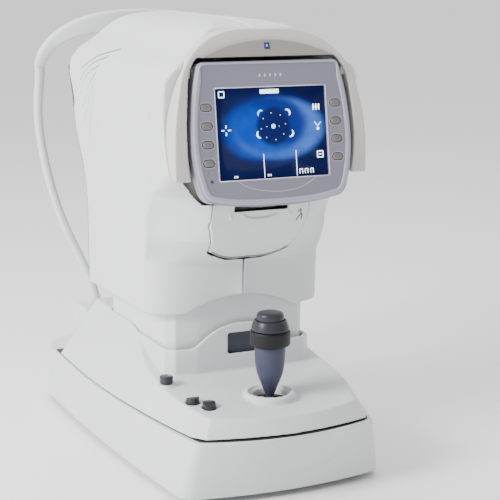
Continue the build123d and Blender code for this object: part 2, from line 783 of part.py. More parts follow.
def optical_barrel():
    """Measuring optics: lens tube, light ring, beam splitter cube and camera."""
    tube = rod_y(0, 10, 110, EYE_HEIGHT, 18.5) - rod_y(0, 5, 120, EYE_HEIGHT, 15)
    for y in (24, 60, 96):
        tube += rod_y(0, y, y + 4, EYE_HEIGHT, 15.5)
    cube = block(-19, 19, -28, 10.5, EYE_HEIGHT - 19, EYE_HEIGHT + 19)
    camera = block(-15, 15, -58, -27.5, EYE_HEIGHT - 15, EYE_HEIGHT + 15)
    chart = rod_x(18.5, 58, -9, EYE_HEIGHT, 12)
    foot = block(-22, 22, -50, 76, SHELF_Z + 4, SHELF_Z + 8)
    posts = both_sides(lambda side: block(-8, 8, 20 + 30 * side, 30 + 30 * side,
                                          SHELF_Z + 7, EYE_HEIGHT - 16))
    post = block(-8, 8, -14, -4, SHELF_Z + 7, EYE_HEIGHT - 18)
    return tube + cube + camera + chart + foot + posts + post


CHASSIS_Z = 178
SHELF_Z = 286


def head_chassis():
    """Sheet-metal frame: base with the lift bushes and nut, two walls and a shelf."""
    base = block(-73, 73, -85, 56, CHASSIS_Z, CHASSIS_Z + 4)
    walls = both_sides(lambda side: block(side * 71.5 - 1.5, side * 71.5 + 1.5, -85, 56,
                                          CHASSIS_Z, SHELF_Z + 3))
    shelf = block(-73, 73, -85, 56, SHELF_Z, SHELF_Z + 4) + block(-24, 24, 50, 78, SHELF_Z, SHELF_Z + 4)
    frame = base + walls + shelf
    for x in (-LIFT_ROD_X, LIFT_ROD_X):
        frame += upright(x, LIFT_Y, CHASSIS_Z - 10, CHASSIS_Z + 22, 10)
        frame -= upright(x, LIFT_Y, 100, 262, LIFT_ROD + RUNNING)
    frame += upright(0, LIFT_Y, CHASSIS_Z - 6, CHASSIS_Z + 14, 11)
    frame -= upright(0, LIFT_Y, 100, 262, LIFT_SCREW + RUNNING)
    arms = both_sides(lambda side: block(side * 86 - 14, side * 86 + 14, -20, 0, SHELF_Z, SHELF_Z + 4))
    return frame + arms


def main_board():
    board = block(-70, 70, -82, -80.4, 192, 278)
    for x, z, w, h in ((-40, 240, 26, 26), (5, 245, 18, 30), (42, 225, 22, 14), (-20, 208, 30, 10)):
        board += block(x - w / 2, x + w / 2, -80.6, -76.5, z - h / 2, z + h / 2)
    return board


# ---------------------------------------------------------------- printer
ROLL_PLACE = (-122, 256)
ROLL_RADIUS = 18
PAPER_HALF = 29


def printer_body():
    """Printer frame: floor, cheeks with the roll's pins, print head and the door's hinge arms."""
    y, z = ROLL_PLACE
    floor = block(-39, 39, -118, -86, 222, 226)
    cheek = [(-86, 222), (-119, 222), (-132, 240), (-139, 258), (-140, 274), (-86, 274)]
    cheeks = both_sides(lambda side: side_prism(cheek, side * 37 - 2, side * 37 + 2))
    rear = block(-39, 39, -88, -85.3, 222, 274)
    print_head = block(-39, 39, PLATEN[0] + 4.4, -139, 264, 270)
    pins = both_sides(lambda side: rod_x(side * 26, side * 36, y, z, 5))
    arms = both_sides(lambda side: block(side * 17 - 1.5, side * 17 + 1.5, DOOR_PIN[0] - 1.3, -115,
                                         DOOR_PIN[1] - 2, 224))
    door_pins = both_sides(lambda side: rod_x(side * 8, side * 16, *DOOR_PIN, 1.2))
    return floor + cheeks + rear + print_head + pins + arms + door_pins


def paper_roll():
    y, z = ROLL_PLACE
    roll = rod_x(-PAPER_HALF, PAPER_HALF, y, z, ROLL_RADIUS)
    return roll - rod_x(-PAPER_HALF - 1, PAPER_HALF + 1, y, z, 5 + RUNNING)


DOOR_PIN = (-121.5, 219)
SLOT = (272, 279)            # paper slot, low and high edge
PLATEN = (-152, 268)


def printer_cover():
    """Door in the chin: follows its curve, with the paper slot and two hinge knuckles."""
    skin = COVER_SKIN & door_cutter()
    skin &= block(-80, 80, -200, -124.6, 219, 281)
    skin -= block(-PAPER_HALF, PAPER_HALF, -200, -100, *SLOT)
    for side in (-1, 1):
        skin += rod_x(side * 6, side * 14, *DOOR_PIN, 2.8)
        skin += block(side * 10 - 4, side * 10 + 4, DOOR_PIN[0] - 5, DOOR_PIN[0], 219, 223)
        skin += block(side * 32 - 1.5, side * 32 + 1.5, -163, PLATEN[0] + 3, 264.5, 271.5)
        skin -= rod_x(side * 5, side * 15, *DOOR_PIN, 1.2 + RUNNING)
    return skin - rod_x(-35, 35, *PLATEN, 2 + RUNNING)


def platen_roller():
    """Rubber roller that feeds the paper past the print head."""
    return rod_x(-PAPER_HALF, PAPER_HALF, *PLATEN, 4) + rod_x(-34, 34, *PLATEN, 2)


# ---------------------------------------------------------------- display
def on_display(shape):
    """Moves a shape drawn flat (X right, Y up, Z towards the operator) to its place."""
    t = radians(DISPLAY_TILT)
    place = Plane(origin=(0, DISPLAY_Y, DISPLAY_Z), x_dir=(1, 0, 0), z_dir=(0, -cos(t), sin(t)))
    return place * shape


BEZEL_FRONT = 2.5
BEZEL_BACK = -12


def bezel_outline(inset=0):
    """Front view of the display: flat top, bowed sides and a shallow bowl below."""
    return symmetric([(0, -70), (36, -69), (62, -65)], [(62, -65), (72, -61.5), (77, -54)],
                     [(77, -54), (82, -34), (84.5, -8), (83, 22), (79, 48), (75.5, 61)],
                     [(75.5, 61), (73.5, 66.5), (68, 69)], [(68, 69), (0, 69)], inset=inset)


def bezel():
    solid = extrude(Pos(0, 0, BEZEL_BACK) * bezel_outline(), BEZEL_FRONT - BEZEL_BACK)
    solid = chamfer(solid.edges().group_by(Axis.Z)[-1], 1.8)
    solid -= extrude(Pos(0, 0, BEZEL_BACK - 1) * bezel_outline(2.5), 1 + (-BEZEL_BACK) - 1.5)
    w, h = SCREEN
    solid -= block(-w / 2 - 0.2, w / 2 + 0.2, -h / 2 - 0.2, h / 2 + 0.2, -20, 20)
    for x, y in KEY_PLACES:
        solid -= Pos(x, y, -5) * extrude(SlotOverall(KEY_SIZE[0] + 0.8, KEY_SIZE[1] + 0.8), 20)
    solid -= Pos(-KEY_X + 2, -43.5, -5) * Cylinder(1.4, 20)
    return on_display(solid)


KEY_SIZE = (11, 6.6)
KEY_PLACES = [(side * KEY_X, (1.5 - i) * KEY_PITCH) for side in (-1, 1) for i in range(4)]


def display_key(place):
    x, y = place
    cap = extrude(SlotOverall(*KEY_SIZE), 5)
    cap = chamfer(cap.edges().group_by(Axis.Z)[-1], 0.5)
    return on_display(Pos(x, y, -1.7) * cap)


def lcd_panel():
    w, h = SCREEN
    return on_display(block(-w / 2 - 1, w / 2 + 1, -h / 2 - 5, h / 2 + 5, -8, -2.6))


def screen_glass():
    w, h = SCREEN
    return on_display(block(-w / 2, w / 2, -h / 2, h / 2, -2.5, 0.4))


HINGE_UP = 60                # hinge line: above the screen's middle, and behind it
HINGE_BACK = 17
HINGE_LINE = (DISPLAY_Y + HINGE_UP * sin(radians(DISPLAY_TILT)) + HINGE_BACK * cos(radians(DISPLAY_TILT)),
              DISPLAY_Z + HINGE_UP * cos(radians(DISPLAY_TILT)) - HINGE_BACK * sin(radians(DISPLAY_TILT)))


def display_back():
    """Rear shell of the display, with the key board and the two hinge pins."""
    plate = extrude(Pos(0, 0, -11.8) * bezel_outline(2.6), 2)
    board = both_sides(lambda side: block(side * 68 - 7, side * 68 + 7, -36, 38, -10, -4.4))
    pins = both_sides(lambda side: rod_x(side * 52, side * 67, HINGE_UP, -HINGE_BACK, 2.5))
    lugs = both_sides(lambda side: block(side * 56 - 3, side * 56 + 3, HINGE_UP - 4, HINGE_UP + 4,
                                         -HINGE_BACK - 4, -11))
    return on_display(plate + board + pins + lugs)


# ---------------------------------------------------------------- chin rest
CUP_Z = 215
CUP_Y = 196


def chinrest():
    """Chin cup on its stem, with two pins that hold the paper tissues."""
    stem = upright(0, CHIN_Y, 42, CUP_Z - 14, CHIN_STEM)
    arm = block(-16, 16, CHIN_Y - 10, CUP_Y + 8, CUP_Z - 15, CUP_Z - 9)
    cup = Pos(0, CUP_Y, CUP_Z - 5) * Box(84, 44, 12)
    cup = fillet(cup.edges().filter_by(Axis.Z), 18)
    bowl = Pos(0, CUP_Y + 4, CUP_Z + 42) * Rot(0, 90, 0) * Cylinder(46, 90)
    cup -= bowl
    pins = both_sides(lambda side: upright(side * 34, CUP_Y - 12, CUP_Z - 2, CUP_Z + 9, 1.8))
    return stem + arm + cup + pins


PARTS = {
    "base_cover": base_cover,
    "base_plate": base_plate,
    "base_top_plate": base_top_plate,
    "rubber_feet": rubber_feet,
    "case_screws": case_screws,
    "y_rails": y_rails,
    "power_supply": power_supply,
    "connector_panel": connector_panel,
    "mains_inlet": mains_inlet,
    "power_switch": power_switch,
    "face_rest_block": face_rest_block,
    "face_rest_frame": face_rest_frame,
    "forehead_arch": forehead_arch,
    "forehead_pad": forehead_pad,
    "chin_motor": chin_motor,
    "chinrest": chinrest,
    "carriage_frame": carriage_frame,
    "x_rods": x_rods,
    "stage_plate": stage_plate,
    "deck_cover": deck_cover,
    "reader_window": reader_window,
    "neck_shroud": neck_shroud,
    "lift_rods": lift_rods,
    "lift_motor": lift_motor,
    "lift_screw": lift_screw,
    "joystick_base": joystick_base,
    "joystick_gimbal": joystick_gimbal,
    "joystick_stem": joystick_stem,
    "joystick_collar": joystick_collar,
    "height_ring": height_ring,
    "start_button": start_button,
    "chin_up_button": chin_up_button,
    "chin_down_button": chin_down_button,
    "lock_knob": lock_knob,
    "head_chassis": head_chassis,
    "left_cover": left_cover,
    "right_cover": right_cover,
    "hood": hood,
    "hood_inlay": hood_inlay,
    "rear_panel": rear_panel,
    "window_ring": window_ring,
    "window_glass": window_glass,
    "optical_barrel": optical_barrel,
    "main_board": main_board,
    "printer_body": printer_body,
    "paper_roll": paper_roll,
    "printer_cover": printer_cover,
    "platen_roller": platen_roller,
    "bezel": bezel,
    "lcd_panel": lcd_panel,
    "screen_glass": screen_glass,
    "display_back": display_back,
}
for number, place in enumerate(KEY_PLACES):
    side_name = "left" if number < 4 else "right"
    PARTS[f"{side_name}_key_{number % 4 + 1}"] = lambda place=place: display_key(place)


def main():
    os.makedirs("parts", exist_ok=True)
    for name, make in PARTS.items():
        export_step(make(), f"parts/{name}.step")


if __name__ == "__main__":
    main()
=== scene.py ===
"""Looks of the autorefractor: camera, studio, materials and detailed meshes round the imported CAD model.

Lengths in this file are millimetres unless a name says otherwise; mm() turns them into metres.
"""
import json
import math

import bmesh
import bpy
from mathutils import Matrix, Vector


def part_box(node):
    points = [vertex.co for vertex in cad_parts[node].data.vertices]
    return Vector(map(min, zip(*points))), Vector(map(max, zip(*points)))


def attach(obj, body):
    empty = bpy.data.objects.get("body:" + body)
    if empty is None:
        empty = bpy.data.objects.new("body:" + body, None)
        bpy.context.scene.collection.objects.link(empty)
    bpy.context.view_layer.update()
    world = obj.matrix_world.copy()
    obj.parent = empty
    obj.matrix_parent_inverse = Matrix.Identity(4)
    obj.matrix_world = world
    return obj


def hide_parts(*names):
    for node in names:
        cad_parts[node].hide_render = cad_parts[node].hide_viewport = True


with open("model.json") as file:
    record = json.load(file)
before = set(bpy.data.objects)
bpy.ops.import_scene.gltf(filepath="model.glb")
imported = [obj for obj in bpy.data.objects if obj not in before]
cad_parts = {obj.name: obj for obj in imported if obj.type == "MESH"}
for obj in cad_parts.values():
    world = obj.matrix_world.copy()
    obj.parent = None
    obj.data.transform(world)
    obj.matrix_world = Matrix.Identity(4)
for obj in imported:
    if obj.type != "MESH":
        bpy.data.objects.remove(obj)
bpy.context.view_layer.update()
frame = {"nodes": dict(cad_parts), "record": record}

NODE_SLOT = {entry["node"]: entry["material_slot"] for entry in frame["record"]["subparts"]}
NODE_BODY = {node: body
             for body, nodes in frame["record"]["behaviour"]["bodies"].items() for node in nodes}
WHITE = (0.68, 0.69, 0.70)
OFF_WHITE = (0.58, 0.565, 0.54)


def mm(*values):
    """Millimetres to a vector in metres, or to one number."""
    scaled = [value / 1000 for value in values]
    return scaled[0] if len(scaled) == 1 else Vector(scaled)


def add_object(name, data):
    """A new object in the scene, made of the given data."""
    obj = bpy.data.objects.new(name, data)
    bpy.context.scene.collection.objects.link(obj)
    return obj


# ---------------------------------------------------------------- camera and studio
CAMERA_PLACE = (-0.5695, -1.4075, 0.5183)     # metres
CAMERA_YAW = math.radians(24.13)
CAMERA_PITCH = math.radians(-11.81)
CAMERA_ROLL = math.radians(0.30)
CAMERA_LENS = 101.4          # on a 36 mm sensor


WORLD_STRENGTH = 1.55
WORLD_DIM = (0.46, 0.46, 0.46)       # on the operator's side
WORLD_FULL = (1.0, 1.0, 1.0)
LIGHT_TARGET = Vector((0, 0, 0.2))   # metres, like the places and sizes below
LIGHTS = (("key", (-1.9, -0.35, 1.3), 0.9, 80), ("top", (0.0, 0.3, 1.9), 1.0, 14))
FLOOR_REACH = 40                     # metres from the middle to each side
FLOOR_WHITE = (0.93, 0.93, 0.93, 1)


def make_camera():
    """The camera, slightly above the display and to its left, looking down a little."""
    data = bpy.data.cameras.new("camera")
    data.lens = CAMERA_LENS
    data.clip_start = 0.05
    camera = add_object("camera", data)
    turn = Matrix.Rotation(-CAMERA_YAW, 4, "Z") @ Matrix.Rotation(math.radians(90) + CAMERA_PITCH, 4, "X")
    turn = turn @ Matrix.Rotation(CAMERA_ROLL, 4, "Z")
    camera.matrix_world = Matrix.Translation(CAMERA_PLACE) @ turn
    bpy.context.scene.camera = camera


def area_light(name, place, size, power):
    """A round light aimed at the middle of the object."""
    data = bpy.data.lights.new(name, "AREA")
    data.shape = "DISK"
    data.size = size
    data.energy = power
    light = add_object(name, data)
    light.location = place
    light.rotation_euler = (LIGHT_TARGET - Vector(place)).to_track_quat("-Z", "Y").to_euler()


def make_world():
    """Soft light from all round, dimmer on the operator's side."""
    world = bpy.data.worlds.new("studio")
    bpy.context.scene.world = world
    world.use_nodes = True
    tree = world.node_tree
    back = tree.nodes["Background"]
    back.inputs["Strength"].default_value = WORLD_STRENGTH
    place = tree.nodes.new("ShaderNodeTexCoord")
    split = tree.nodes.new("ShaderNodeSeparateXYZ")
    tree.links.new(place.outputs["Generated"], split.inputs["Vector"])
    depth = spread(tree, split.outputs["Y"], 0, 1, -0.35, 0.35)
    tree.links.new(mixed(tree, depth, WORLD_DIM, WORLD_FULL), back.inputs["Color"])


def make_floor():
    """A wide white floor, which belongs to the studio and not to the object."""
    mesh = bpy.data.meshes.new("floor")
    corners = [(x * FLOOR_REACH, y * FLOOR_REACH, 0) for x, y in ((-1, -1), (1, -1), (1, 1), (-1, 1))]
    mesh.from_pydata(corners, [], [(0, 1, 2, 3)])
    floor = add_object("floor", mesh)
    material = bpy.data.materials.new("floor_white")
    material.use_nodes = True
    shader = material.node_tree.nodes["Principled BSDF"]
    shader.inputs["Base Color"].default_value = FLOOR_WHITE
    shader.inputs["Roughness"].default_value = 0.7
    mesh.materials.append(material)


# ---------------------------------------------------------------- materials
def noise(tree, scale, detail=2.0, stretch=(1, 1, 1)):
    """Noise in the piece's own space; scale is features per metre."""
    place = tree.nodes.new("ShaderNodeTexCoord")
    mapping = tree.nodes.new("ShaderNodeMapping")
    mapping.inputs["Scale"].default_value = stretch
    texture = tree.nodes.new("ShaderNodeTexNoise")
    texture.inputs["Scale"].default_value = scale
    texture.inputs["Detail"].default_value = detail
    tree.links.new(place.outputs["Object"], mapping.inputs["Vector"])
    tree.links.new(mapping.outputs["Vector"], texture.inputs["Vector"])
    return texture.outputs["Fac"]


def spread(tree, value, low, high, start=0.3, end=0.7):
    """The value from start to end, spread over low to high."""
    node = tree.nodes.new("ShaderNodeMapRange")
    for name, number in (("From Min", start), ("From Max", end), ("To Min", low), ("To Max", high)):
        node.inputs[name].default_value = number
    tree.links.new(value, node.inputs["Value"])
    return node.outputs["Result"]


MIX_FACTOR, MIX_FIRST, MIX_SECOND = 0, 6, 7     # a mix node's sockets when it mixes colours
MIX_RESULT = 2


def mixed(tree, factor, first, second):
    """A colour between two, each a colour or another node's output."""
    node = tree.nodes.new("ShaderNodeMix")
    node.data_type = "RGBA"
    tree.links.new(factor, node.inputs[MIX_FACTOR])
    for place, colour in ((MIX_FIRST, first), (MIX_SECOND, second)):
        socket = node.inputs[place]
        if isinstance(colour, tuple):
            socket.default_value = (*colour, 1)
        else:
            tree.links.new(colour, socket)
    return node.outputs[MIX_RESULT]


def scaled(colour, factor):
    """The colour made lighter or darker, within its range."""
    return tuple(min(1.0, part * factor) for part in colour)


def finish_material(name, colour, rough, grain=0.4, relief=0.02, mottle=0.03, metal=0.0, coat=0.0,
                    stretch=(1, 1, 1), worn=0.0, rough_play=0.05):
    """Moulded, painted or brushed surface: fine grain in relief, broad mottling, uneven gloss."""
    material = bpy.data.materials.new(name)
    material.use_nodes = True
    tree = material.node_tree
    shader = tree.nodes["Principled BSDF"]
    shader.inputs["Metallic"].default_value = metal
    shader.inputs["Specular IOR Level"].default_value = 0.3
    shader.inputs["Coat Weight"].default_value = coat
    shader.inputs["Coat Roughness"].default_value = 0.25
    body = mixed(tree, spread(tree, noise(tree, 9, 4), 0, 1), scaled(colour, 1 - mottle),
                 scaled(colour, 1 + mottle))
    if worn:
        edge = tree.nodes.new("ShaderNodeNewGeometry").outputs["Pointiness"]
        body = mixed(tree, spread(tree, edge, 0, worn, 0.52, 0.60), body, scaled(colour, 2.2))
    tree.links.new(body, shader.inputs["Base Color"])
    gloss = spread(tree, noise(tree, 55, 3, stretch), rough - rough_play, rough + rough_play)
    tree.links.new(gloss, shader.inputs["Roughness"])
    bump = tree.nodes.new("ShaderNodeBump")
    bump.inputs["Strength"].default_value = 0.6
    bump.inputs["Distance"].default_value = mm(relief)
    tree.links.new(noise(tree, 1000 / grain, 2, stretch), bump.inputs["Height"])
    tree.links.new(bump.outputs["Normal"], shader.inputs["Normal"])
    return material


def glass_material(name, colour):
    """Glossy dark glass with faint smears."""
    material = finish_material(name, colour, 0.09, grain=2.5, relief=0.002, mottle=0.12, rough_play=0.03)
    shader = material.node_tree.nodes["Principled BSDF"]
    shader.inputs["Coat Weight"].default_value = 0.25
    shader.inputs["Coat Roughness"].default_value = 0.04
    return material


def glow_material(name, colour, strength):
    """A lit mark on the screen, a little uneven in its brightness."""
    material = bpy.data.materials.new(name)
    material.use_nodes = True
    tree = material.node_tree
    shader = tree.nodes["Principled BSDF"]
    tint = mixed(tree, spread(tree, noise(tree, 900, 1), 0, 1), scaled(colour, 0.8), colour)
    tree.links.new(tint, shader.inputs["Emission Color"])
    tree.links.new(tint, shader.inputs["Base Color"])
    shader.inputs["Emission Strength"].default_value = strength
    shader.inputs["Roughness"].default_value = 0.3
    return material


def arithmetic(tree, operation, first, second):
    """A math node's result; the second value is a number or another node's output."""
    node = tree.nodes.new("ShaderNodeMath")
    node.operation = operation
    tree.links.new(first, node.inputs[0])
    if isinstance(second, (int, float)):
        node.inputs[1].default_value = second
    else:
        tree.links.new(second, node.inputs[1])
    return node.outputs[0]


def blob(tree, place, centre, radii, start, end):
    """1 inside an ellipse on the screen, falling to 0 from start to end times its radii."""
    squares = []
    for value, middle, radius in zip(place, centre, radii):
        ratio = arithmetic(tree, "DIVIDE", arithmetic(tree, "SUBTRACT", value, mm(middle)), mm(radius))
        squares.append(arithmetic(tree, "MULTIPLY", ratio, ratio))
    ramp = tree.nodes.new("ShaderNodeMapRange")
    ramp.interpolation_type = "SMOOTHERSTEP"
    for name, number in (("From Min", start ** 2), ("From Max", end ** 2), ("To Min", 1), ("To Max", 0)):
        ramp.inputs[name].default_value = number
    tree.links.new(arithmetic(tree, "ADD", *squares), ramp.inputs["Value"])
    return ramp.outputs["Result"]


def screen_material():
    """The camera's picture of an eye in blue light: dark corners, bright iris, round dark pupil."""
    material = bpy.data.materials.new("screen_picture")
    material.use_nodes = True
    tree = material.node_tree
    shader = tree.nodes["Principled BSDF"]
    place = tree.nodes.new("ShaderNodeTexCoord")
    split = tree.nodes.new("ShaderNodeSeparateXYZ")
    tree.links.new(place.outputs["Object"], split.inputs["Vector"])
    at = split.outputs["X"], split.outputs["Y"]
    night, deep = (0.002, 0.005, 0.06), (0.001, 0.03, 0.36)
    bright, pale = (0.001, 0.085, 0.72), (0.09, 0.26, 0.92)
    colour = mixed(tree, blob(tree, at, (2, 4), (52, 33), 0.55, 1.2), night, deep)
    colour = mixed(tree, blob(tree, at, (-22, 2), (36, 32), 0.1, 1.0), colour, bright)
    outside_iris = spread(tree, blob(tree, at, (-3, 8), (44, 30), 0.7, 1.05), 1, 0, 0, 1)
    ring = arithmetic(tree, "MULTIPLY", blob(tree, at, (8, 4), (50, 31), 0.75, 1.08), outside_iris)
    colour = mixed(tree, ring, colour, pale)
    lower_lid = arithmetic(tree, "MULTIPLY", blob(tree, at, (-2, -17), (40, 11), 0.1, 1.0), 0.55)
    colour = mixed(tree, lower_lid, colour, (0.01, 0.14, 0.82))
    colour = mixed(tree, blob(tree, at, (1.5, 6), (18, 19), 0.75, 1.15), colour, (0.004, 0.012, 0.13))
    grain = arithmetic(tree, "MULTIPLY", spread(tree, noise(tree, 90, 5), 0.0, 0.5), 0.5)
    colour = mixed(tree, grain, colour, night)
    shader.inputs["Base Color"].default_value = (0.004, 0.006, 0.02, 1)
    tree.links.new(colour, shader.inputs["Emission Color"])
    shader.inputs["Emission Strength"].default_value = 1.0
    shader.inputs["Specular IOR Level"].default_value = 0.08
    tree.links.new(spread(tree, noise(tree, 30, 4), 0.12, 0.2), shader.inputs["Roughness"])
    return material


FINISHES = {
    "white_shell": dict(colour=WHITE, rough=0.46, grain=0.7, relief=0.012, mottle=0.015),
    "hood_shell": dict(colour=OFF_WHITE, rough=0.44, grain=0.7, relief=0.012, mottle=0.015),
    "inlay": dict(colour=(0.31, 0.29, 0.265), rough=0.38, relief=0.02, mottle=0.03, coat=0.15),
    "black_plate": dict(colour=(0.018, 0.018, 0.022), rough=0.5, worn=0.2),
    "rubber": dict(colour=(0.03, 0.03, 0.03), rough=0.75, grain=0.6, relief=0.05),
    "steel": dict(colour=(0.62, 0.62, 0.64), rough=0.25, metal=1.0, stretch=(1, 1, 0.05), relief=0.01),
    "sheet_metal": dict(colour=(0.66, 0.67, 0.69), rough=0.36, metal=1.0, stretch=(0.04, 1, 1),
                        relief=0.01, mottle=0.06),
    "grey_panel": dict(colour=(0.040, 0.037, 0.050), rough=0.45, relief=0.04, worn=0.25),
    "bezel_grey": dict(colour=(0.235, 0.225, 0.285), rough=0.36, relief=0.012, coat=0.25),
    # lighter than the bezel: painted highlight on the bezel's rolled rim, and the colour of the seams round
    # the keys
    "seam_silver_and_rim_highlight": dict(colour=(0.40, 0.395, 0.49), rough=0.26, relief=0.008, coat=0.5),
    "key_grey": dict(colour=(0.17, 0.16, 0.155), rough=0.34, relief=0.01, coat=0.4, worn=0.2),
    "grip_grey": dict(colour=(0.040, 0.043, 0.078), rough=0.40, grain=0.5, relief=0.03, worn=0.25),
    "cap_grey": dict(colour=(0.026, 0.028, 0.036), rough=0.34, grain=0.5, relief=0.02, worn=0.3),
    "ring_black": dict(colour=(0.005, 0.005, 0.006), rough=0.50, grain=0.8, relief=0.05, worn=0.15),
    "button_grey": dict(colour=(0.030, 0.033, 0.040), rough=0.36, relief=0.02, worn=0.3),
    "board_green": dict(colour=(0.02, 0.14, 0.06), rough=0.35, mottle=0.1),
    "black_plastic": dict(colour=(0.016, 0.016, 0.017), rough=0.42, relief=0.03, worn=0.2),
    "paper": dict(colour=(0.80, 0.79, 0.76), rough=0.85, grain=0.3, relief=0.03),
    "pad_grey": dict(colour=(0.16, 0.165, 0.175), rough=0.8, grain=0.9, relief=0.12, mottle=0.06),
    "optics_black": dict(colour=(0.03, 0.03, 0.033), rough=0.4, metal=0.6, relief=0.02),
    "line_grey": dict(colour=(0.11, 0.11, 0.125), rough=0.6),
    "shadow_grey": dict(colour=(0.24, 0.245, 0.25), rough=0.6),
    "pale_line": dict(colour=(0.62, 0.62, 0.68), rough=0.3, coat=0.4),
    "navy": dict(colour=(0.015, 0.04, 0.14), rough=0.35, coat=0.3),
    "brass": dict(colour=(0.75, 0.55, 0.28), rough=0.3, metal=1.0),
}
GLASSES = {
    "screen": (0.01, 0.03, 0.15),
    "lens_glass": (0.02, 0.012, 0.035),
    "tinted_window": (0.004, 0.006, 0.022),
}
GLOWS = {
    "glow_white": ((0.85, 0.93, 1.0), 2.6),
    "glow_blue": ((0.30, 0.62, 1.0), 1.8),
}
MATERIALS = {name: finish_material(name, **look) for name, look in FINISHES.items()}
MATERIALS.update({name: glass_material(name, colour) for name, colour in GLASSES.items()})
MATERIALS.update({name: glow_material(name, *look) for name, look in GLOWS.items()})
MATERIALS["screen_picture"] = screen_material()


# ---------------------------------------------------------------- mesh tools
OUTSIDE = 400                        # beyond every surface, so that a ray starts in the open
UP = Vector((0, 0, 1))
FROM_FRONT = Vector((0, 1, 0))
FROM_REAR = Vector((0, -1, 0))
SCOOP_EDGE, SCOOP_ROLL = 1.08, 0.2   # outer edge of a scoop and width of its rolled edge, in radii


def dress(obj, material, body):
    """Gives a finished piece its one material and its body."""
    obj.data.materials.clear()
    obj.data.materials.append(MATERIALS[material])
    obj.data.polygons.foreach_set("use_smooth", [True] * len(obj.data.polygons))
    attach(obj, body)
    return obj


def mesh_object(name, bm):
    """The finished bmesh as an object of the scene."""
    mesh = bpy.data.meshes.new(name)
    bmesh.ops.recalc_face_normals(bm, faces=bm.faces)
    bm.to_mesh(mesh)
    bm.free()
    return add_object(name, mesh)


def applied(obj):
    """Makes the modifiers' result the object's own mesh."""
    graph = bpy.context.evaluated_depsgraph_get()
    result = bpy.data.meshes.new_from_object(obj.evaluated_get(graph))
    obj.modifiers.clear()
    obj.data = result


def moulded(name, node, voxel, passes):
    """A CAD node's form in small even cells, with its corners rounded off as a moulding has them."""
    bm = bmesh.new()
    bm.from_mesh(frame["nodes"][node].data)
    bmesh.ops.remove_doubles(bm, verts=bm.verts, dist=mm(0.005))
    obj = mesh_object(name, bm)
    remesh = obj.modifiers.new("remesh", "REMESH")
    remesh.mode = "VOXEL"
    remesh.voxel_size = mm(voxel)
    smooth = obj.modifiers.new("smooth", "SMOOTH")
    smooth.factor = 0.5
    smooth.iterations = passes
    applied(obj)
    return obj


def softened(node, voxel, passes, keep=0.4, shape=None):
    """Replaces a CAD node by its moulded form; shape works on the mesh before it is thinned out."""
    obj = moulded(node + "_shell", node, voxel, passes)
    if shape:
        shape(obj.data)
    thin = obj.modifiers.new("thin", "DECIMATE")
    thin.ratio = keep
    applied(obj)
    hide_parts(node)
    return dress(obj, NODE_SLOT[node], NODE_BODY[node])


def smoothstep(value):
    """0 below 0, 1 above 1, and a soft rise between."""
    value = max(0.0, min(1.0, value))
    return value * value * (3 - 2 * value)


def dent(mesh, centre, radii, depth, facing, fade=None):
    """Pushes in the points that face the operator, inside an ellipse in X and Z."""
    ways = [vertex.normal.y for vertex in mesh.vertices]
    for vertex, way in zip(mesh.vertices, ways):
        if way > facing:
            continue
        x, z = vertex.co.x * 1000, vertex.co.z * 1000
        reach = math.hypot((x - centre[0]) / radii[0], (z - centre[1]) / radii[1])
        amount = smoothstep((SCOOP_EDGE - reach) / SCOOP_ROLL)
        if fade:
            amount *= fade(x)
        vertex.co.y += mm(depth) * amount


def rounded(points, radius, steps=4):
    """The profile with each inner corner eased by a short curve."""
    result = [Vector(points[0])]
    for i in range(1, len(points) - 1):
        before, here, after = (Vector(points[i + k]) for k in (-1, 0, 1))
        cut = min(radius, (before - here).length / 2, (after - here).length / 2)
        start = here + (before - here).normalized() * cut
        end = here + (after - here).normalized() * cut
        for step in range(steps + 1):
            t = step / steps
            result.append(start.lerp(here, t).lerp(here.lerp(end, t), t))
    result.append(Vector(points[-1]))
    return result


def lathe(name, profile, place, straight=0.0, corner=0.5, segments=72):
    """A turned piece from radius, height pairs; straight pulls it apart along X into a long oval."""
    bm = bmesh.new()
    rings = []
    for radius, height in rounded(profile, corner):
        ring = []
        for i in range(segments):
            angle = 2 * math.pi * (i + 0.5) / segments
            x = radius * math.cos(angle) + math.copysign(straight, math.cos(angle))
            ring.append(bm.verts.new(mm(x, radius * math.sin(angle), height)))
        rings.append(ring)
    for low, high in zip(rings, rings[1:]):
        for i in range(segments):
            k = (i + 1) % segments
            bm.faces.new((low[i], low[k], high[k], high[i]))
    bm.faces.new(rings[0])
    bm.faces.new(rings[-1])
    bmesh.ops.remove_doubles(bm, verts=bm.verts, dist=mm(0.001))
    bmesh.ops.transform(bm, matrix=place, verts=bm.verts)
    return mesh_object(name, bm)


def block(name, low, high, roll, segments):
    """A box between two corners in metres, with rolled edges."""
    bm = bmesh.new()
    bmesh.ops.create_cube(bm, size=1)
    bmesh.ops.scale(bm, vec=high - low, verts=bm.verts)
    bmesh.ops.translate(bm, vec=(high + low) / 2, verts=bm.verts)
    bmesh.ops.bevel(bm, geom=bm.edges, offset=mm(roll), segments=segments, affect="EDGES")
    return mesh_object(name, bm)


def catmull(points, closed=False, steps=8):
    """A smooth path through the points."""
    points = [Vector(point) for point in points]
    count = len(points)
    result = []
    for i in range(count if closed else count - 1):
        if closed:
            a, b, c, d = (points[(i + k) % count] for k in (-1, 0, 1, 2))
        else:
            a, b, c, d = (points[min(max(i + k, 0), count - 1)] for k in (-1, 0, 1, 2))
        for step in range(steps):
            t = step / steps
            result.append(0.5 * (2 * b + (c - a) * t + (2 * a - 5 * b + 4 * c - d) * t * t
                                 + (3 * (b - c) + d - a) * t ** 3))
    if not closed:
        result.append(points[-1])
    return result


def straight_run(start, end, parts):
    """Evenly spaced points from start to end."""
    return [start.lerp(end, step / parts) for step in range(parts + 1)]


def rectangle(u, v, width, height):
    """The corners of a rectangle round a middle."""
    return [(u + width / 2 * a, v + height / 2 * b) for a, b in ((-1, -1), (1, -1), (1, 1), (-1, 1))]


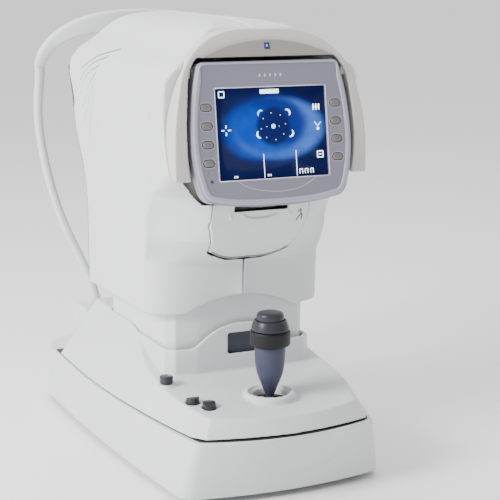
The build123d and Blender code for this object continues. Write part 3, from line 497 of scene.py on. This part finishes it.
def sides(corners):
    """Each corner with the next one, and the last with the first."""
    return list(zip(corners, corners[1:] + corners[:1]))


def mirrored(half):
    """An outline from its half at X above 0, with the other half added in reverse."""
    return half + [(-x, y) for x, y in reversed(half) if x > 0]


def ribbon(bm, path, normals, widths, height, base=-0.2, closed=False):
    """A low rounded ridge along a path in millimetres, standing on a surface with the given normals."""
    section = ((-1.0, 0), (-0.8, 0.7), (-0.35, 1.0), (0.35, 1.0), (0.8, 0.7), (1.0, 0))
    rows = []
    for i, point in enumerate(path):
        before = path[i - 1] if closed or i else path[0]
        after = path[(i + 1) % len(path)] if closed or i < len(path) - 1 else path[-1]
        along = (after - before).normalized()
        across = normals[i].cross(along).normalized()
        row = []
        for side, lift in section:
            level = base if lift == 0 else height * lift
            row.append(bm.verts.new(mm(*(point + across * (side * widths[i] / 2) + normals[i] * level))))
        rows.append(row)
    pairs = list(zip(rows, rows[1:])) + ([(rows[-1], rows[0])] if closed else [])
    for first, second in pairs:
        for k in range(len(section)):
            j = (k + 1) % len(section)
            bm.faces.new((first[k], first[j], second[j], second[k]))
    if not closed:
        bm.faces.new(rows[0])
        bm.faces.new(rows[-1])


def flat_ribbon(bm, path, normal, width, height, **more):
    """A ribbon of one width on a flat surface."""
    ribbon(bm, path, [normal] * len(path), [width] * len(path), height, **more)


def tapered(count, width, ends=0.15):
    """Widths along a path that is widest in the middle."""
    return [width * (ends + (1 - ends) * math.sin(math.pi * i / (count - 1)) ** 0.6) for i in range(count)]


def struck(obj, start, way):
    """Where a ray first meets a piece: its place in millimetres and its normal, or None."""
    hit, place, normal, _ = obj.ray_cast(mm(*start), way)
    return (place * 1000, normal) if hit else None


def all_struck(obj, starts, way):
    """The places and normals where rays meet a piece, without those that miss it."""
    found = [struck(obj, start, way) for start in starts]
    return [hit for hit in found if hit]


def standing(place, normal):
    """The matrix that stands a turned piece on a surface."""
    return Matrix.Translation(mm(*place)) @ normal.to_track_quat("Z", "Y").to_matrix().to_4x4()


# ---------------------------------------------------------------- covers and base
BASE_SCOOP = dict(centre=(-4, 47), radii=(64, 23), depth=1.5, facing=-0.6)
FINGER_SCOOP = dict(centre=(0, 270.5), radii=(19, 6.5), depth=1.8, facing=-0.4)
PLAIN_SHELLS = (("deck_cover", 1.1, 5), ("left_cover", 1.2, 6), ("right_cover", 1.2, 6), ("hood", 0.9, 5),
                ("hood_inlay", 0.6, 3), ("neck_shroud", 1.1, 3), ("face_rest_block", 1.2, 6),
                ("face_rest_frame", 1.2, 5), ("forehead_arch", 1.2, 5), ("chinrest", 0.9, 5),
                ("rear_panel", 1.1, 2), ("bezel", 0.7, 3), ("chin_up_button", 0.35, 3),
                ("chin_down_button", 0.35, 3))     # node, cell size, smoothing passes


def scoop_base(mesh):
    """The shallow scoop in the base's front, fading out towards -X."""
    dent(mesh, fade=lambda x: smoothstep((x + 50) / 60), **BASE_SCOOP)


def scoop_door(mesh):
    """The finger scoop below the paper slot."""
    dent(mesh, **FINGER_SCOOP)


def make_shells():
    """The moulded covers, by the name of the node that each replaces."""
    shells = {
        "base_cover": softened("base_cover", 1.3, 6, keep=0.35, shape=scoop_base),
        "printer_cover": softened("printer_cover", 0.8, 3, shape=scoop_door),
    }
    for node, voxel, passes in PLAIN_SHELLS:
        shells[node] = softened(node, voxel, passes)
    return shells


def keep_cad_nodes():
    """CAD nodes whose shape is right get their finished material."""
    for node, obj in frame["nodes"].items():
        for slot in obj.material_slots:
            slot.material = MATERIALS[NODE_SLOT[node]]


# ---------------------------------------------------------------- side details
LOUVRES = (((87, 396), (52, 412), (12, 421)), ((90, 383), (60, 402), (22, 413)),
           ((91, 368), (66, 391), (32, 403)), ((86, 352), (66, 377), (36, 395)),
           ((77, 338), (62, 366), (43, 389)), ((60, 318), (54, 352), (47, 384)))     # Y, Z places
LIP_SHIFT = Vector((0, -1.2, 1.2))
CAPS = ((-125, 366), (-124, 301), (62, 246), (30, 176))
CAP_RING = [(0, -0.4), (3.5, -0.4), (3.5, 0.05), (0, 0.05)]
CAP = [(0, -0.3), (3.2, -0.3), (3.2, 0.25), (0, 0.4)]


def side_details(cover, side, name):
    """Louvres and screw caps on one side cover; each louvre is a raised white lip beside a grey strip of
    painted shade, standing in for the shade in its groove.
    """
    inwards = Vector((-side, 0, 0))
    groove_shade, lips = bmesh.new(), bmesh.new()
    for louvre in LOUVRES:
        flat = catmull([(y, z, 0) for y, z in louvre], steps=10)
        starts = [(side * OUTSIDE, point.x, point.y) for point in flat]
        path, normals = zip(*all_struck(cover, starts, inwards))
        # painted shade: a grey strip on the surface where the louvre's groove lies in shade
        ribbon(groove_shade, path, normals, tapered(len(path), 2.0), 0.14)
        shifted = [point + LIP_SHIFT for point in path]
        ribbon(lips, shifted, normals, tapered(len(path), 2.2), 0.7)
    dress(mesh_object(f"louvre_groove_shade_{name}", groove_shade), "line_grey", "head")
    dress(mesh_object(f"louvre_lips_{name}", lips), "white_shell", "head")
    for number, (y, z) in enumerate(CAPS, 1):
        where = standing(*struck(cover, (side * OUTSIDE, y, z), inwards))
        ring = lathe(f"cap_ring_{name}_{number}", CAP_RING, where, corner=0.1)
        dress(ring, "shadow_grey", "head")
        cap = lathe(f"screw_cap_{name}_{number}", CAP, where, corner=0.25)
        dress(cap, "white_shell", "head")


# ---------------------------------------------------------------- joystick and deck
JOYSTICK_Y = -186
GRIP = [(0, 72), (6, 72), (6, 79), (3.4, 81), (3.4, 87), (4.4, 89.5), (6.2, 94), (8.4, 100), (11.3, 107),
        (13.6, 114), (14.8, 123), (15.4, 133), (15.6, 140.6), (12.9, 140.6), (12.9, 159), (0, 159)]
RING = [(13.1, 148), (13.1, 141), (19.2, 141), (20.2, 142.2), (20.2, 154.8), (19.4, 156), (13.1, 156),
        (13.1, 148)]
CROWN = [(13.1, 158), (13.1, 156.4), (18.8, 156.4), (19, 158), (17.9, 162), (16.5, 166), (15.2, 166.9),
         (14.3, 166.3), (14.3, 159), (13.1, 159), (13.1, 158)]
BUTTON = [(0, 161.2), (13.8, 161.2), (13.8, 171), (13, 173.2), (10, 174.5), (5, 175), (0, 175.2)]
BOOT = [(7.6, 83.9), (10, 86), (11.5, 84.6), (13.5, 85.6), (15, 84), (17.6, 84.8), (17.6, 83.2), (7.6, 82.4),
        (7.6, 83.9)]
HANDLE_PIECES = (
    ("joystick_grip", GRIP, 3, "joystick_stem", "grip_grey", "joystick", "grip_grey"),
    ("joystick_ring", RING, 0.9, "height_ring", "ring_black", "height_ring", "ring_black"),
    ("joystick_crown", CROWN, 0.8, "joystick_collar", "cap_grey", "joystick", "grip_grey"),
    ("joystick_button", BUTTON, 1.2, "start_button", "cap_grey", "start_button", "grip_grey"),
)
KNOB_X, KNOB_Y = -90, -133
KNOB_PAD = 96.8                      # height of the deck under the knob
READER_Y = -115.05                   # face of the reader's window
READER_Z = 126
COLLAR_SEAM = (-16.0, -117.6)        # X and Y of the seam that runs up the collar


def make_joystick():
    """The turned handle pieces, and the rubber boot in the deck's collar."""
    place = Matrix.Translation(mm(0, JOYSTICK_Y, 0))
    for name, profile, corner, node, material, body, slot in HANDLE_PIECES:
        piece = lathe(name, profile, place, corner=corner)
        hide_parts(node)
        dress(piece, material, body)
    boot = lathe("joystick_boot", BOOT, place, corner=0.8)
    dress(boot, "rubber", "stage")


def make_knob():
    """The stage's lock knob with its pointer line."""
    profile = [(0, -12), (3, -12), (3, 0), (6.4, 0), (6.9, 1.5), (6.5, 4), (7, 6.2), (6.4, 7.8), (0, 8.2)]
    knob = lathe("stage_lock_knob", profile, Matrix.Translation(mm(KNOB_X, KNOB_Y, KNOB_PAD)), corner=0.9)
    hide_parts("lock_knob")
    dress(knob, "button_grey", "lock_knob")
    bm = bmesh.new()
    start = Vector((KNOB_X + 1.5, KNOB_Y - 1.0, KNOB_PAD + 8.1))
    step = Vector((0.7, -0.45, -0.02))
    flat_ribbon(bm, [start + step * i for i in range(6)], UP, 0.7, 0.25)
    dress(mesh_object("knob_pointer", bm), "pale_line", "lock_knob")


def make_reader():
    """Seam below the bar-code reader window, and a lens frame inside it."""
    front = Vector((0, -1, 0))
    bm = bmesh.new()
    flat_ribbon(bm, [Vector((*COLLAR_SEAM, z)) for z in (98, 104, 110, 115)], front, 0.5, 0.12)
    dress(mesh_object("collar_seam", bm), "shadow_grey", "stage")
    bm = bmesh.new()
    for width, height in ((25, 16), (18, 10)):
        corners = [Vector((x, READER_Y, z)) for x, z in rectangle(0, READER_Z, width, height)]
        for start, end in sides(corners):
            flat_ribbon(bm, straight_run(start, end, 4), front, 0.5, 0.12)
    dress(mesh_object("reader_frame", bm), "navy", "stage")


# ---------------------------------------------------------------- display
TILT = math.radians(9)
DISPLAY = Matrix(((1, 0, 0, 0),
                  (0, math.sin(TILT), -math.cos(TILT), mm(-187)),
                  (0, math.cos(TILT), math.sin(TILT), mm(352)),
                  (0, 0, 0, 1)))
BEZEL_EDGE = [(0, -70), (36, -69), (58, -66), (70, -62.5), (76, -55.5), (79.5, -45), (83, -27), (84.5, -8),
              (84.2, 8), (82.6, 26), (80, 43), (76.5, 58), (73.6, 66), (68, 68.8), (50, 69), (25, 69)]
SCREEN_WIDTH, SCREEN_HEIGHT = 115.2, 86.4
PANE_BACK, PANE_FACE = -2.5, 0.4
BEZEL_FACE = 2.45
# widths of the rim's band of painted highlight
RIM_WIDE, RIM_THIN = 5.6, 1.6
RIM_INSET = 1.5                      # from the bezel's edge to the rim
RIM_NARROWS, RIM_NARROWS_OVER = 50, 18     # height where the rim starts to narrow, and over how much
CORNEA_RING = 3.6                    # radius of the crescents on the screen
MARK_LEVEL, MARK_HEIGHT = 0.42, 0.08
KEY_X, KEY_PITCH, KEY_ROWS = 68, 17.5, 4
KEY_SPREAD = 2.2                     # half the straight part of a key's oval
KEY_CAP = [(0, -1.7), (3.3, -1.7), (3.3, 2.4), (2.6, 3.0), (1.4, 3.35), (0, 3.45)]
KEY_RING = 4.5
ON_BEZEL = dict(level=BEZEL_FACE, height=0.12)
LAMP = [(0, -2), (1.15, -2), (1.15, 2.4), (0.6, 2.9), (0, 3.0)]


def on_display(obj):
    """Carries a piece drawn flat onto the tilted display."""
    obj.data.transform(DISPLAY)
    return obj


def make_rim():
    """Rolled rim round the bezel, coloured lighter than the bezel as a painted highlight on its rounded
    edge: wide at the sides and the bottom, thin along the top.
    """
    edge = catmull([(x, y, 0) for x, y in mirrored(BEZEL_EDGE)], closed=True, steps=6)
    path, widths = [], []
    for i, point in enumerate(edge):
        along = (edge[(i + 1) % len(edge)] - edge[i - 1]).normalized()
        inwards = Vector((-along.y, along.x, 0))
        top = smoothstep((point.y - RIM_NARROWS) / RIM_NARROWS_OVER)
        width = RIM_WIDE - (RIM_WIDE - RIM_THIN) * top
        widths.append(width)
        path.append(point + inwards * (RIM_INSET + width / 2) + Vector((0, 0, BEZEL_FACE)))
    bm = bmesh.new()
    ribbon(bm, path, [UP] * len(path), widths, 0.75, closed=True)
    # painted highlight: the rim's lighter colour stands in for light on the bezel's rounded edge
    dress(on_display(mesh_object("bezel_rim_highlight", bm)), "seam_silver_and_rim_highlight", "display")


def make_screen():
    """The lit pane, which keeps its own space for its picture, and the pale line round it."""
    low = mm(-SCREEN_WIDTH / 2, -SCREEN_HEIGHT / 2, PANE_BACK)
    high = mm(SCREEN_WIDTH / 2, SCREEN_HEIGHT / 2, PANE_FACE)
    screen = block("screen_pane", low, high, 0.25, 2)
    screen.matrix_world = DISPLAY
    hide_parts("screen_glass")
    dress(screen, "screen_picture", "display")
    bm = bmesh.new()
    corners = [Vector((x, y, 2.4)) for x, y in rectangle(0, 0, SCREEN_WIDTH + 1.8, SCREEN_HEIGHT + 1.8)]
    for start, end in sides(corners):
        flat_ribbon(bm, straight_run(start, end, 8), UP, 1.3, 0.3)
    dress(on_display(mesh_object("screen_surround", bm)), "pale_line", "display")


def stroke(bm, points, width, level=MARK_LEVEL, height=MARK_HEIGHT, smooth=True):
    """A thin flat mark drawn on the display."""
    path = [Vector((x, y, level)) for x, y in points]
    if smooth and len(path) > 2:
        path = catmull(path, steps=5)
    flat_ribbon(bm, path, UP, width, height, base=-0.05)


def polygon(bm, corners, width, **where):
    """A closed mark with sharp corners."""
    for start, end in sides(corners):
        stroke(bm, [start, end], width, **where)


def disc(bm, x, y, radius):
    """A round dot on the screen."""
    centre = Vector((x, y, MARK_LEVEL))
    angles = [2 * math.pi * i / 16 for i in range(16)]
    path = [centre + Vector((math.cos(a), math.sin(a), 0)) * (radius / 2) for a in angles]
    flat_ribbon(bm, path, UP, radius, MARK_HEIGHT, base=-0.05, closed=True)


def crescent(bm, x, y, turn):
    """Part of the ring of light mirrored in the cornea."""
    angles = [turn + math.radians(-75 + 15 * i) for i in range(11)]
    middle = Vector((x, y, MARK_LEVEL))
    path = [middle + Vector((math.cos(a), math.sin(a), 0)) * CORNEA_RING for a in angles]
    ribbon(bm, path, [UP] * 11, tapered(11, 2.0, 0.1), MARK_HEIGHT, base=-0.05)


def draw_target(white, blue):
    """Crescents and dots round the middle of the pupil."""
    x, y = 1.5, 6.0
    for dx, dy, degrees, target in ((-12, 12, 135, blue), (14.5, 12, 35, white), (-14, -7, 200, white),
                                    (17, -7, -25, white)):
        crescent(target, x + dx, y + dy, math.radians(degrees))
    for i in range(8):
        angle = math.radians(45 * i + 8)
        disc(blue, x + 13 * math.cos(angle), y + 13 * math.sin(angle), 0.6)
    for dx in (-7, 6):
        disc(blue, x + dx, y, 0.5)
    disc(blue, x, y, 2.4)


def draw_symbols(white):
    """Bar, two uprights, two boxes, arrow cross and small signs round the screen's edge."""
    for y in (38.3, 39.6, 40.9):
        stroke(white, [(-11, y), (9, y)], 1.6)
    for x, top in ((-10.5, -20), (24, -18)):
        stroke(white, [(x, top), (x, -42.5)], 0.7)
    for u, v, size in ((-51, 38, 5.5), (50, -23, 6)):
        polygon(white, rectangle(u, v, size, size), 1.1)
    stroke(white, [(48.5, -23), (51.5, -23)], 1.2)
    for dx, dy in ((1, 0), (-1, 0), (0, 1), (0, -1)):
        stroke(white, [(-48 + dx * 1.8, 4 + dy * 1.8), (-48 + dx * 5, 4 + dy * 5)], 1.2)
    stroke(white, [(45.5, 8.5), (49, 4.5), (52.5, 8.5)], 0.9, smooth=False)
    for i in range(3):
        stroke(white, [(45 + 3 * i, 20), (45 + 3 * i, 26)], 1.5)
    stroke(white, [(45, 23), (51, 23)], 1.2)
    disc(white, 49, 2, 1.6)


def draw_scales(white):
    """Short ticks along the screen's bottom."""
    for u in (-42, -7):
        for k in range(3):
            stroke(white, [(u + 1.6 * k, -41.5), (u + 1.6 * k, -39.5)], 0.8)
    for k in range(6):
        stroke(white, [(27 + 2.9 * k, -40.8), (27 + 2.9 * k, -36.2)], 0.9)
        if k % 2:
            stroke(white, [(24.6 + 2.9 * k, -36.4), (27 + 2.9 * k, -36.4)], 0.8)


def make_marks():
    """Generic symbols on the screen, in white and in blue light."""
    white, blue = bmesh.new(), bmesh.new()
    draw_target(white, blue)
    draw_symbols(white)
    draw_scales(white)
    dress(on_display(mesh_object("screen_marks", white)), "glow_white", "display")
    dress(on_display(mesh_object("eye_marks", blue)), "glow_blue", "display")


def key_ring(x, y):
    """The oval seam in the bezel round one key."""
    points = []
    for step in range(32):
        angle = 2 * math.pi * (step + 0.5) / 32
        reach = KEY_RING * math.cos(angle) + math.copysign(KEY_SPREAD, math.cos(angle))
        points.append(Vector((x + reach, y + KEY_RING * math.sin(angle), BEZEL_FACE)))
    return points


def make_keys():
    """Four keys on each side of the screen, and the seams round them."""
    seams = bmesh.new()
    for side, name in ((-1, "left"), (1, "right")):
        for i in range(KEY_ROWS):
            x, y = side * KEY_X, ((KEY_ROWS - 1) / 2 - i) * KEY_PITCH
            node = f"{name}_key_{i + 1}"
            key = lathe(node + "_cap", KEY_CAP, DISPLAY @ Matrix.Translation(mm(x, y, 0)),
                        straight=KEY_SPREAD, corner=0.8, segments=48)
            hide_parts(node)
            dress(key, "key_grey", node)
            flat_ribbon(seams, key_ring(x, y), UP, 0.7, 0.12, closed=True)
    dress(on_display(mesh_object("key_rings", seams)), "seam_silver_and_rim_highlight", "display")


def make_bezel_marks():
    """Arc below the screen, row of bars above it, two small signs and the lamp."""
    dark, light = bmesh.new(), bmesh.new()
    arc = [(-38, -46), (-30, -50.5), (-18, -54), (-2, -56.2), (14, -56), (28, -53), (38, -48), (43, -45)]
    stroke(light, arc, 0.5, **ON_BEZEL)
    polygon(dark, rectangle(-66, -35, 6.5, 4.2), 0.4, **ON_BEZEL)
    polygon(dark, [(-68, -17.6), (-65.8, -15.4), (-63.6, -17.6), (-65.8, -19.8)], 0.4, **ON_BEZEL)
    for k in range(5):
        x = -11 + 5.5 * k
        stroke(light, [(x, 53.6), (x, 56.4)], 2.2, **ON_BEZEL)
    dress(on_display(mesh_object("bezel_arc", light)), "pale_line", "display")
    dress(on_display(mesh_object("bezel_signs", dark)), "line_grey", "display")
    where = DISPLAY @ Matrix.Translation(mm(-66, -43.5, 0))
    dress(lathe("status_lamp", LAMP, where, corner=0.4, segments=32), "navy", "display")


# ---------------------------------------------------------------- head front and door
HOOD_SLOPE = math.atan2(10.4, 26)    # how far the inlay leans back
HOOD_MARK = Vector((0, -173, 434))
DOOR_SIGN = (((41, 268), (43.5, 271), (44.5, 265)),
             ((40.5, 258.5), (42.5, 263), (45.5, 265.5), (46, 260)))     # X, Z places
DOOR_EDGE = ((-52, 280), (-52.5, 258), (-46, 238), (-42.5, 228), (-23, 219.6), (0, 218.6), (23, 219.6),
             (42.5, 228), (46, 238), (52.5, 258), (52, 280))
SHADE_SHEET_DEPTH = 3.8                     # from the outer face to the sheet of painted shade, past the door's wall
SHADE_SHEET_DROP = 3.2                      # how far the shade sheet's lower part reaches down behind the covers
DROP_FROM, DROP_OVER = 245, 20       # height where the drop starts, and over how much it grows
JOINT_TOP = 230                      # the strip of painted shade fills the joint below this height
WELL_HALF = [(0, 279.5), (62, 279.5), (88, 305), (88, 332), (0, 332)]
WELL_FRONT, WELL_REAR = -150, -148


def make_hood_mark():
    """A plain square with a dot on the hood's inlay."""
    normal = Vector((0, -math.cos(HOOD_SLOPE), math.sin(HOOD_SLOPE)))
    along = Vector((0, math.sin(HOOD_SLOPE), math.cos(HOOD_SLOPE)))
    bm = bmesh.new()
    flat_ribbon(bm, [HOOD_MARK + along * (3.4 * t) for t in (-1, -0.5, 0, 0.5, 1)], normal, 6.8, 0.3)
    dress(mesh_object("hood_mark", bm), "navy", "head")
    bm = bmesh.new()
    flat_ribbon(bm, [HOOD_MARK + normal * 0.3 + along * t for t in (-1, 0, 1)], normal, 2.0, 0.12)
    dress(mesh_object("hood_mark_dot", bm), "pale_line", "head")


def on_door(door, points):
    """The places and normals on the door's front at X, Z places."""
    return all_struck(door, [(x, -OUTSIDE, z) for x, z in points], FROM_FRONT)


def make_door_sign(door):
    """The small sign on the printer door."""
    bm = bmesh.new()
    for points in DOOR_SIGN:
        flat = catmull([(x, z, 0) for x, z in points], steps=4)
        path, normals = zip(*on_door(door, [(point.x, point.y) for point in flat]))
        ribbon(bm, path, normals, [1.7] * len(path), 0.12)
    dress(mesh_object("door_sign", bm), "line_grey", "printer_cover")


def door_line(door, sideways, up):
    """Places and normals on the door along its edge, drawn in by the given amounts."""
    edge = catmull([(x, z, 0) for x, z in DOOR_EDGE], steps=6)
    return on_door(door, [(point.x * sideways, point.y + up) for point in edge])


def make_door_edges(door):
    """Grey sheet inside the head behind the printer door, and a grey strip over the joint below the door:
    both are painted shade, standing in for the shade seen in the door's gap.
    """
    path, normals = zip(*door_line(door, 0.98, 1.6))
    behind = []
    for place, normal in zip(path, normals):
        drop = SHADE_SHEET_DROP * smoothstep((DROP_FROM - place.z) / DROP_OVER)
        behind.append(place - normal * SHADE_SHEET_DEPTH - Vector((0, 0, drop)))
    bm = bmesh.new()
    ribbon(bm, behind, normals, [6.4] * len(behind), 0.3, base=-0.6)
    # painted shade: a grey sheet behind the gap, so that the gap shows as a grey shade line
    dress(mesh_object("door_gap_shade", bm), "shadow_grey", "head")
    low = [hit for hit in door_line(door, 0.985, 1.0) if hit[0].z < JOINT_TOP]
    path, normals = zip(*low)
    bm = bmesh.new()
    ribbon(bm, [place - Vector((0, 0, 1.1)) for place in path], normals, [2.2] * len(low), 0.15, base=-0.8)
    # painted shade: a grey strip laid over the joint as the joint's shadow line
    dress(mesh_object("door_joint_shade", bm), "shadow_grey", "head")


def make_display_well():
    """Inner wall of the head behind the display, which closes the opening below the hood."""
    outline = mirrored(WELL_HALF)
    bm = bmesh.new()
    front = [bm.verts.new(mm(x, WELL_FRONT, z)) for x, z in outline]
    rear = [bm.verts.new(mm(x, WELL_REAR, z)) for x, z in outline]
    bm.faces.new(front)
    bm.faces.new(rear)
    for (near, far), (next_near, next_far) in sides(list(zip(front, rear))):
        bm.faces.new((near, next_near, next_far, far))
    bmesh.ops.bevel(bm, geom=bm.edges, offset=mm(0.5), segments=2, affect="EDGES")
    dress(mesh_object("display_well", bm), "hood_shell", "head")


# ---------------------------------------------------------------- pad and rear
PAD_FALL = 1.6                       # how far the pad's crown falls off at its ends
REAR_SCREWS = ((-94, 190), (94, 190), (-94, 380), (94, 380))     # X, Z places
SCREW_HEAD = [(0, -0.5), (3.6, -0.5), (3.6, 0.9), (2.9, 1.6), (1.4, 1.7), (1.1, 0.6), (0, 0.6)]
VENT_ROWS, VENT_PITCH, VENT_BOTTOM = 9, 5.5, 196
INLET_X = -42
CONTACTS = ((-7, 30), (7, 30), (0, 34.5))     # X from the inlet's middle, Z


def make_pad():
    """Forehead pad: a soft strip with a crowned face, sunk on the brow band."""
    pad = moulded("brow_pad", "forehead_pad", 0.9, 9)
    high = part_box("forehead_pad")[1]
    ways = [vertex.normal.y for vertex in pad.data.vertices]
    for vertex, way in zip(pad.data.vertices, ways):
        across = abs(vertex.co.x) / high[0]
        if way > 0.4:
            vertex.co.y -= mm(PAD_FALL) * across ** 3
            vertex.co.y = min(vertex.co.y, high[1])
    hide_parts("forehead_pad")
    dress(pad, "pad_grey", "base")


def make_rear(panel):
    """Screws and vent slots on the rear panel."""
    for number, (x, z) in enumerate(REAR_SCREWS, 1):
        where = standing(*struck(panel, (x, OUTSIDE, z), FROM_REAR))
        screw = lathe(f"rear_screw_{number}", SCREW_HEAD, where, corner=0.3, segments=40)
        dress(screw, "steel", "head")
    vents = bmesh.new()
    for row in range(VENT_ROWS):
        starts = [(-40 + 10 * i, OUTSIDE, VENT_BOTTOM + VENT_PITCH * row) for i in range(9)]
        path, normals = zip(*all_struck(panel, starts, FROM_REAR))
        ribbon(vents, path, normals, tapered(len(path), 2.4, 0.5), 0.1)
    dress(mesh_object("rear_vents", vents), "black_plastic", "head")


def make_contacts():
    """The three blades in the mains inlet."""
    for number, (dx, z) in enumerate(CONTACTS, 1):
        low = mm(INLET_X + dx - 1.3, 180, z - 2.8)
        high = mm(INLET_X + dx + 1.3, 194.4, z + 2.8)
        dress(block(f"inlet_contact_{number}", low, high, 0.5, 3), "brass", "base")


make_camera()
make_world()
for light_name, light_place, light_size, light_power in LIGHTS:
    area_light(light_name, light_place, light_size, light_power)
make_floor()
keep_cad_nodes()
shells = make_shells()
for cover_name, side_sign in (("left", -1), ("right", 1)):
    side_details(shells[cover_name + "_cover"], side_sign, cover_name)
make_joystick()
make_knob()
make_reader()
make_rim()
make_screen()
make_marks()
make_keys()
make_bezel_marks()
make_hood_mark()
make_door_sign(shells["printer_cover"])
make_door_edges(shells["printer_cover"])
make_display_well()
make_pad()
make_rear(shells["rear_panel"])
make_contacts()
